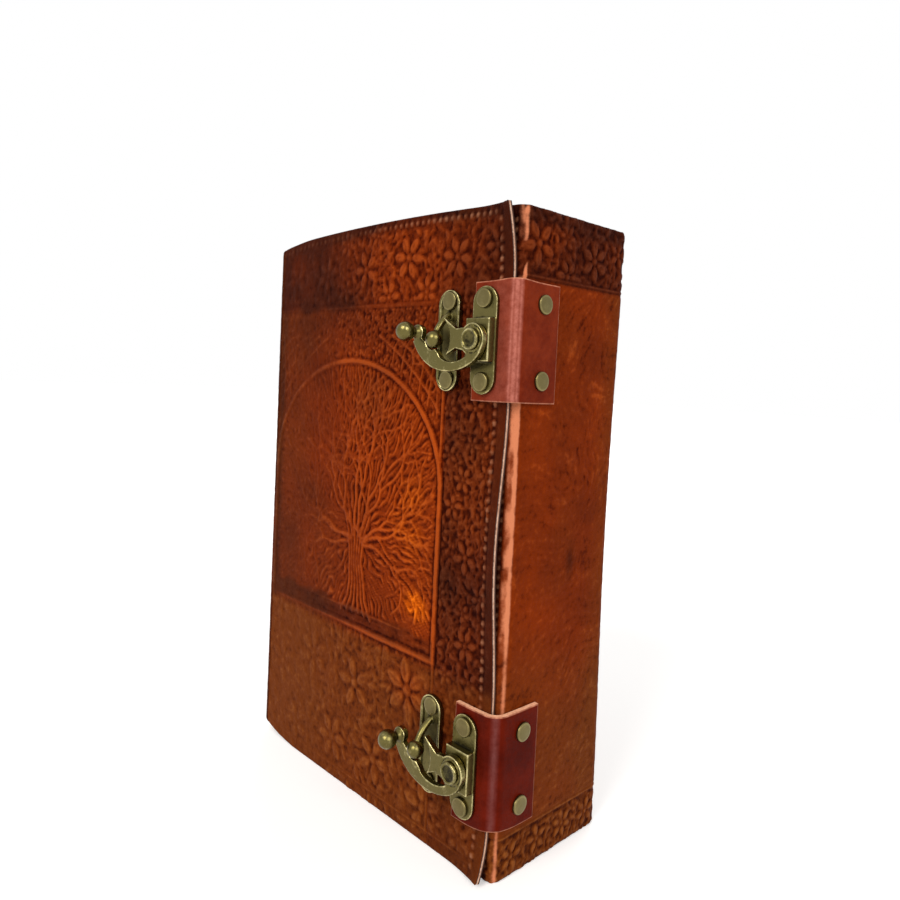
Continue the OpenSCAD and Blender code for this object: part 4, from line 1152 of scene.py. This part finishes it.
# A tab turned round the fore-edge: columns like the cover's, its edges dipping at the corner
def makeTab(where, middle):
    t, own = tabs, tabs[where]
    thick, r = t["thickness"], t["radius"]
    arc, out = (r + thick) * t["arcShare"], -halfT - thick
    x0, y1, yr, n = halfW - t["front"], -halfT + t["side"], -halfT + r, t["columns"]
    columns = joinRuns(
        straightRun((x0, out), (halfW - r, out), -arc - t["front"] + r, -arc, n * 2 // 5),
        bendRun((halfW - r, yr), r + thick, -90, 0, -arc, arc, n // 5),
        straightRun((halfW + thick, yr), (halfW + thick, y1), arc, arc + t["side"] - r, n * 2 // 5))
    rows = np.concatenate([[0, 0.006, 0.016], np.linspace(0.03, 0.97, t["rows"]), [0.984, 0.994, 1]])
    corner = np.exp(-(columns[:, 4] / t["cornerWidth"]) ** 2)
    half = journal["tabHeight"] / 2 - 0.2
    top = middle + half - own["bowTop"] * (1 - corner)
    foot = middle - half + own["bowFoot"] * corner
    z = foot + (top - foot) * rows[:, None]

    def sheet(inward):
        x, y = (columns[:, :2] - columns[:, 2:4] * inward).T
        return np.stack([np.broadcast_to(x, z.shape), np.broadcast_to(y, z.shape), z], -1)

    grid, m = sheet(0), np.broadcast_to(columns[:, 4], z.shape)
    side = np.minimum(m - m[:, :1], m[:, -1:] - m)
    near = np.minimum(np.minimum(z - z[:1], z[-1:] - z), side)
    fall = t["edgeFall"] * np.clip(1 - near / 0.9, 0, 1) ** 2
    fall = fall + t["wave"] * (cloudAt(m, z, 7, own["seed"]) - 0.2)
    outer = grid - gridNormals(grid) * fall[..., None]
    points, parts = closeShell(outer, sheet(thick), 1, 1, 1)
    # painted highlight: a sheen strip down the rounded corner, and a weaker painted sheen over the
    # front face
    shine = smoothStep(1.25, 0.75, np.abs(m) / own["shine"]) * (0.75 + 0.25 * np.cos(m * 3.2))
    front = own["front"] * smoothStep(-16, -7, m) * smoothStep(1.0, -1.5, m)
    inside = {"shine": (np.maximum(shine, front), 0), "edge": (np.clip(1 - near / 0.8, 0, 1), 1),
              "depth": (0 * z, 1)}
    layers = {key: np.concatenate([face.ravel(), np.full(z.size, value)])
              for key, (face, value) in inside.items()}
    materials = [tabLeather[where], tabEdge, stuff["fleshSide"]]
    name = "tab" + where.capitalize()
    makePiece(name, points, parts, materials, layers, "tab_" + where)


# Materials


# Joins a plain shader with the given sockets to the output, with a bump of a height in metres
def finishMaterial(desk, height, grain, fills):
    bump = desk.node("ShaderNodeBump", {"Strength": 1.0, "Distance": grain, "Height": height})
    shader = desk.node("ShaderNodeBsdfPrincipled", dict(fills, Normal=bump))
    desk.node("ShaderNodeOutputMaterial", {"Surface": shader})


leatherPores = {"cells": 1250, "cellEdge": 0.32, "cellShare": 0.55, "wrinkles": 900,
                "wrinkleShare": 0.75, "mottle": 55, "speck": 420}


# A group that several leathers share: pores and fine wrinkles as a height, and a slow mottle
def grainGroup(values):
    group = bpy.data.node_groups.new("leatherGrain", "ShaderNodeTree")
    group.interface.new_socket("Place", in_out="INPUT", socket_type="NodeSocketVector")
    for name in ("Height", "Mottle", "Speck"):
        group.interface.new_socket(name, in_out="OUTPUT", socket_type="NodeSocketFloat")
    desk = NodeDesk(group)
    place = desk.node("NodeGroupInput").outputs["Place"]
    fills = {"Vector": place, "Scale": values["cells"]}
    cells = desk.node("ShaderNodeTexVoronoi", fills, feature="DISTANCE_TO_EDGE").outputs["Distance"]
    pores = desk.times(desk.ramp(cells, 0.0, values["cellEdge"]), values["cellShare"])
    wrinkles = desk.times(desk.noise(place, values["wrinkles"], 4.0, 0.6), values["wrinkleShare"])
    desk.node("NodeGroupOutput", {
        "Height": desk.add(pores, wrinkles), "Mottle": desk.noise(place, values["mottle"], 4.0, 0.6),
        "Speck": desk.noise(place, values["speck"], 3.0, 0.65)})
    return group


leatherGrain = grainGroup(leatherPores)


# The shared grain placed in a material: height, mottle and speck
def grainOf(desk):
    made = desk.node("ShaderNodeGroup", node_tree=leatherGrain)
    desk.fill(made.inputs["Place"], desk.place())
    return made.outputs["Height"], made.outputs["Mottle"], made.outputs["Speck"]


# The stain: where the leather glows, where it is dark and where it is brown, and what the hollows and
# the crests multiply these by; on the crests this is a painted highlight, and the worn colour is the
# fold's pale wear with a painted highlight
stain = {
    "glow": (0.205, 0.0250, 0.0022), "dark": (0.042, 0.0075, 0.0028),
    "olive": (0.130, 0.029, 0.0048), "flame": (0.42, 0.066, 0.002),
    "hollow": (0.28, 0.20, 0.38), "crestHighlight": (1.85, 2.4, 2.8),
    "speck": 0.7, "mottle": 0.35, "wornAndSheen": (0.56, 0.185, 0.088), "bead": (0.30, 0.125, 0.065),
    "roughness": (0.36, 0.56), "specular": 0.012, "specularTint": (1.0, 0.5, 0.28),
    "grain": 0.00009,
}


# Glow and brown are mixed first, then dimmed in the hollows and given a painted highlight on the
# crests
def makeEmbossedLeather(name, values):
    material, desk = newMaterial(name)
    height, mottle, speck = grainOf(desk)
    loose = desk.swing(speck, values["speck"])
    tone = desk.add(desk.attribute("tone"), loose)
    warm = desk.add(desk.attribute("glow"), desk.swing(mottle, values["mottle"]))
    glow = desk.math("MULTIPLY", warm, 1.0, clamp=True)
    color = desk.mix(glow, values["dark"], values["glow"])
    color = desk.mix(desk.attribute("olive"), color, values["olive"])
    # the brightest glow, which the painted pool of light in the arch reaches, turns flame orange
    color = desk.mix(desk.ramp(warm, 1.0, 1.5), color, values["flame"])
    shade = desk.mix(desk.ramp(tone, 0.12, 0.5), values["hollow"], (1.0, 1.0, 1.0))
    # painted highlight: the crests are lightened
    shade = desk.mix(desk.ramp(tone, 0.5, 0.92), shade, values["crestHighlight"])
    color = desk.mix(1.0, color, shade, "MULTIPLY")
    # the fold's pale wear together with its painted highlight
    wear = desk.attribute("wear")
    wornAndSheen = desk.add(wear, desk.times(loose, desk.ramp(wear, 0.0, 0.3)))
    color = desk.mix(desk.ramp(wornAndSheen, 0.0, 0.85), color, values["wornAndSheen"])
    color = desk.mix(desk.attribute("pale"), color, values["bead"])
    smooth, rough = values["roughness"]
    finishMaterial(desk, height, values["grain"], {
        "Base Color": color, "Roughness": desk.ramp(tone, 0.2, 0.9, rough, smooth),
        "Specular IOR Level": values["specular"], "Specular Tint": values["specularTint"]})
    return material


tabStain = {
    "upper": {"dark": (0.120, 0.0120, 0.0035), "light": (0.205, 0.027, 0.008),
              "shine": (0.47, 0.155, 0.115)},
    "lower": {"dark": (0.060, 0.0035, 0.0008), "light": (0.115, 0.0075, 0.0015),
              "shine": (0.150, 0.044, 0.040)},
    "edge": (0.55, 0.22, 0.13), "roughness": (0.29, 0.46), "specular": 0.02, "grain": 0.00006,
}


# Smooth oxblood leather: slow clouds, a painted sheen at the corner and over the front face, and
# lighter rubbed edges
def makeTabLeather(name, values, colors):
    material, desk = newMaterial(name)
    height, mottle, speck = grainOf(desk)
    cloud = desk.add(mottle, desk.swing(speck, 0.35))
    color = desk.mix(desk.ramp(cloud, 0.28, 0.72), colors["dark"], colors["light"])
    # the painted sheen, broken up by the speck
    shine = desk.times(desk.attribute("shine"), desk.ramp(speck, 0.25, 0.75, 0.45, 1.0))
    color = desk.mix(shine, color, colors["shine"])
    edge = desk.ramp(desk.attribute("edge"), 0.25, 0.75)
    color = desk.mix(desk.times(edge, desk.ramp(speck, 0.3, 0.7, 0.35, 1.0)), color, values["edge"])
    finishMaterial(desk, height, values["grain"], {
        "Base Color": color, "Roughness": desk.ramp(speck, 0.3, 0.7, *values["roughness"]),
        "Specular IOR Level": values["specular"]})
    return material


# Plain stuff: two colours, the size of their noise, roughness, bump and mirror strength
plainStuff = {
    "fleshSide": ((0.20, 0.095, 0.05), (0.34, 0.18, 0.10), 500, 0.85, 0.00015, 0.25),
    "burnishedEdge": ((0.030, 0.009, 0.005), (0.085, 0.026, 0.012), 300, 0.5, 0.00006, 0.25),
    "paper": ((0.70, 0.60, 0.42), (0.86, 0.79, 0.63), 350, 0.85, 0.00008, 0.2),
    "waxedThread": ((0.50, 0.40, 0.24), (0.74, 0.64, 0.44), 1500, 0.55, 0.00005, 0.35),
}
leafShade = (0.42, 0.33, 0.20)


# Two colours blended by a noise that also gives the roughness and the bump
def makeStuff(name, low, high, scale, roughness, grain, specular):
    material, desk = newMaterial(name)
    share = desk.noise(desk.place(), scale, 4.0, 0.65)
    color = desk.mix(desk.ramp(share, 0.3, 0.7), low, high)
    if name == "paper":
        color = desk.mix(desk.ramp(desk.attribute("leafEdge"), 0.1, 0.75), leafShade, color)
    finishMaterial(desk, share, grain, {
        "Base Color": color, "Specular IOR Level": specular,
        "Roughness": desk.ramp(share, 0.2, 0.8, roughness + 0.08, roughness - 0.08)})
    return material


cutEdge = {"pale": (0.62, 0.40, 0.29), "deep": (0.36, 0.18, 0.11), "burnt": (0.040, 0.012, 0.006),
           "outer": (0.18, 0.34), "inner": (0.58, 0.76), "fray": 0.25, "roughness": 0.72,
           "specular": 0.25, "scale": 650, "grain": 0.00012}
tabCutEdge = dict(cutEdge, pale=(0.95, 0.52, 0.32), deep=(0.70, 0.33, 0.19),
                  outer=(-0.5, -0.3), inner=(1.05, 1.3))


# A cut edge is pale in its middle and stained along both faces, which the depth attribute runs
# between
def makeRawEdge(name, values):
    material, desk = newMaterial(name)
    share = desk.noise(desk.place(), values["scale"], 4.0, 0.65)
    depth = desk.add(desk.attribute("depth"), desk.swing(share, values["fray"]))
    color = desk.mix(desk.ramp(share, 0.3, 0.7), values["deep"], values["pale"])
    color = desk.mix(desk.ramp(depth, *values["outer"]), values["burnt"], color)
    color = desk.mix(desk.ramp(depth, *values["inner"]), color, values["burnt"])
    finishMaterial(desk, share, values["grain"], {
        "Base Color": color, "Roughness": values["roughness"],
        "Specular IOR Level": values["specular"]})
    return material


brassFinish = {
    "bright": (0.70, 0.61, 0.30), "body": (0.132, 0.110, 0.036), "shade": (0.016, 0.013, 0.005),
    "shadeTo": (0.14, 0.44), "brightFrom": (0.54, 0.92), "roughness": (0.38, 0.16),
    "patch": 260, "patchShare": 0.7, "fine": 1700, "fineShare": 0.3, "grain": 0.00005,
}
rivetFinish = dict(brassFinish, body=(0.14, 0.112, 0.043), bright=(0.215, 0.175, 0.072),
                   roughness=(0.48, 0.26))


# Antique brass: bright where handling rubs it and where a highlight is painted on its standing edges,
# brown-green where the stain stays in the hollows
def makeBrass(name, values):
    material, desk = newMaterial(name)
    place = desk.place()
    patch = desk.noise(place, values["patch"], 4.0, 0.65)
    fine = desk.noise(place, values["fine"], 3.0, 0.6)
    rubHighlight = desk.add(desk.attribute("rubAndHighlight"), desk.swing(patch, values["patchShare"]))
    rubHighlight = desk.add(rubHighlight, desk.swing(fine, values["fineShare"]))
    color = desk.mix(desk.ramp(rubHighlight, *values["shadeTo"]), values["shade"], values["body"])
    # painted highlight: standing edges go bright, as well as rubbed
    color = desk.mix(desk.ramp(rubHighlight, *values["brightFrom"]), color, values["bright"])
    finishMaterial(desk, desk.add(patch, fine), values["grain"], {
        "Base Color": color, "Roughness": desk.ramp(rubHighlight, 0.2, 0.9, *values["roughness"]),
        "Metallic": 1.0})
    return material


embossedLeather = makeEmbossedLeather("embossedLeather", stain)
tabLeather = {where: makeTabLeather(where + "TabLeather", tabStain, tabStain[where])
              for where in ("upper", "lower")}
rawEdge, tabEdge = makeRawEdge("rawEdge", cutEdge), makeRawEdge("tabEdge", tabCutEdge)
stuff = {name: makeStuff(name, *values) for name, values in plainStuff.items()}
castBrass, rivetBrass = makeBrass("castBrass", brassFinish), makeBrass("rivetBrass", rivetFinish)
print("materials ready")

# Brass pieces
casting = {
    "WELD": {"merge_threshold": 1e-6},
    "REMESH": {"mode": "VOXEL", "voxel_size": 0.26 * millimetre, "use_smooth_shade": True},
    "SMOOTH": {"factor": 0.5, "iterations": 5},
    "DECIMATE": {"ratio": 0.5},
}
rubbingAndHighlight = {"rounds": 3, "gain": 12.0, "flat": 0.42}


# One property of all items as rows of so many numbers
def readArray(items, key, width, kind):
    values = np.zeros(len(items) * width, kind)
    items.foreach_get(key, values)
    return values.reshape(-1, width)


# How far each point stands out from the mean of its neighbours along its normal, evened out, is the
# share that hands have rubbed bright and that carries a painted edge highlight
def rubAndHighlightShare(mesh):
    place = readArray(mesh.vertices, "co", 3, np.float32) / millimetre
    normal = readArray(mesh.vertices, "normal", 3, np.float32)
    edges = readArray(mesh.edges, "vertices", 2, np.int32)
    n = len(place)
    both = np.concatenate([edges, edges[:, ::-1]])
    count = np.maximum(np.bincount(both[:, 0], minlength=n), 1)

    def around(values):
        return np.bincount(both[:, 0], weights=values[both[:, 1]], minlength=n) / count

    mean = np.column_stack([around(column) for column in place.T])
    stand = np.einsum("ij,ij->i", place - mean, normal)
    for _ in range(rubbingAndHighlight["rounds"]):
        stand = 0.5 * stand + 0.5 * around(stand)
    return np.clip(rubbingAndHighlight["flat"] + rubbingAndHighlight["gain"] * stand, 0, 1)


# A casting is the merged copy of a solid, rebuilt as even small faces, its edges and joints
# smoothed as in a mould, and thinned again where it is flat
def castPiece(name, node, body):
    piece = bpy.data.objects.new(name, nodes[node].data.copy())
    bpy.context.scene.collection.objects.link(piece)
    for kind, settings in casting.items():
        step = piece.modifiers.new(kind.lower(), kind)
        for key, value in settings.items():
            setattr(step, key, value)
    view = bpy.context.evaluated_depsgraph_get()
    mesh = bpy.data.meshes.new_from_object(piece.evaluated_get(view))
    mesh.name = name
    piece.modifiers.clear()
    piece.data = mesh
    mesh.materials.clear()
    mesh.materials.append(castBrass)
    mesh.polygons.foreach_set("use_smooth", np.ones(len(mesh.polygons), bool))
    mesh.polygons.foreach_set("material_index", np.zeros(len(mesh.polygons), np.int32))
    setLayer(mesh, "rubAndHighlight", rubAndHighlightShare(mesh))
    settlePiece(piece, body, node)


rivets = {"head": 7.4, "headHeight": 1.2, "dome": 0.12, "soft": 0.45, "shank": 3.0, "tail": 5.4,
          "tailHeight": 0.8, "tailSoft": 0.25, "sides": 48, "plate": 1.6, "catchFloor": 1.2}


# A rivet is a profile turned about its axis: a clinched tail, a shank and a flat head with a
# rounded rim and a shallow dome. It stands where its solid does, out of the front or the flap
def makeRivet(name, onFront, grip, node):
    r, k = rivets, rivets["sides"]
    low, high = (np.array(corner) / millimetre - journal["shift"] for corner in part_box(node))
    centre = (low + high) / 2
    if onFront:
        centre[1] = low[1] + r["headHeight"]
    else:
        centre[0] = high[0] - r["headHeight"]
    cos, sin = compass(np.linspace(0, 90, 6))
    rimR, soft, top = r["head"] / 2, r["soft"], r["headHeight"] - r["dome"]
    tail, foot, shank = r["tail"] / 2, -grip - r["tailHeight"], r["shank"] / 2
    rim = np.column_stack([rimR - soft + soft * cos, top - soft + soft * sin])
    crown = np.linspace(1, 0, 8)[1:-1]
    body = np.concatenate([
        [[tail - r["tailSoft"], foot], [tail, foot + r["tailSoft"]], [tail, -grip],
         [shank, -grip], [shank, 0.0], [rimR, 0.0]],
        rim, np.column_stack([crown * (rimR - soft), r["headHeight"] - r["dome"] * crown ** 2])])
    theta = 2 * np.pi * np.arange(k) / k
    n, up = len(body), body[:, None, 1]
    ring = np.stack([body[:, None, 0] * np.cos(theta), body[:, None, 0] * np.sin(theta),
                     np.broadcast_to(up, (n, k))], -1)
    points = np.concatenate([ring.reshape(-1, 3), [[0, 0, foot], [0, 0, r["headHeight"]]]])
    turned = (points[:, 0], -points[:, 2]) if onFront else (points[:, 2], points[:, 0])
    points = np.column_stack([*turned, points[:, 1]])
    i = np.arange(k)
    low = np.column_stack([(i + 1) % k, i, np.full(k, n * k)])
    high = np.column_stack([(n - 1) * k + i, (n - 1) * k + (i + 1) % k, np.full(k, n * k + 1)])
    # the head is brighter than the hidden shank and tail, and the edge of the head carries a painted
    # highlight ring as well as its rubbing
    rubAndHighlight = np.repeat(np.clip((body[:, 1] + 0.4) / 1.2, 0.05, 0.62), k)
    rubAndHighlight[(n - 8) * k:(n - 6) * k] += 0.25  # the edge of the head is the brightest
    parts = [(faces, 0, True) for faces in (ringFaces(n, k)[:, [0, 3, 2, 1]], low, high)]
    layers = {"rubAndHighlight": np.concatenate([rubAndHighlight, [0.1, 0.6]])}
    makePiece(name, points + centre, parts, [rivetBrass], layers, node)


# Both clasps: four castings and six rivets each
def makeBrassPieces():
    r, thick = rivets, tabs["thickness"]
    grips = {"tab": (False, thick + leatherT), "hinge": (True, thick + r["plate"] - r["tailHeight"]),
             "catch": (True, r["catchFloor"] + leatherT)}
    for where in ("upper", "lower"):
        tag = where.capitalize()
        castings = {"hingePlate": "hinge_plate_", "pivot": "pivot_",
                    "swingHook": "swing_hook_", "catchPlate": "catch_plate_"}
        for name, node in castings.items():
            body = where + "_hook" if name == "swingHook" else "journal"
            castPiece(name + tag, node + where, body)
        for end in ("Top", "Bottom"):
            for name, (onFront, grip) in grips.items():
                node = name + "_rivet_" + where + "_" + end.lower()
                makeRivet(name + "Rivet" + tag + end, onFront, grip, node)
    print("clasps and rivets done")


makeCovers()
makeThread()
makePages()
for where in ("upper", "lower"):
    makeTab(where, journal[where + "Clasp"])
makeBrassPieces()
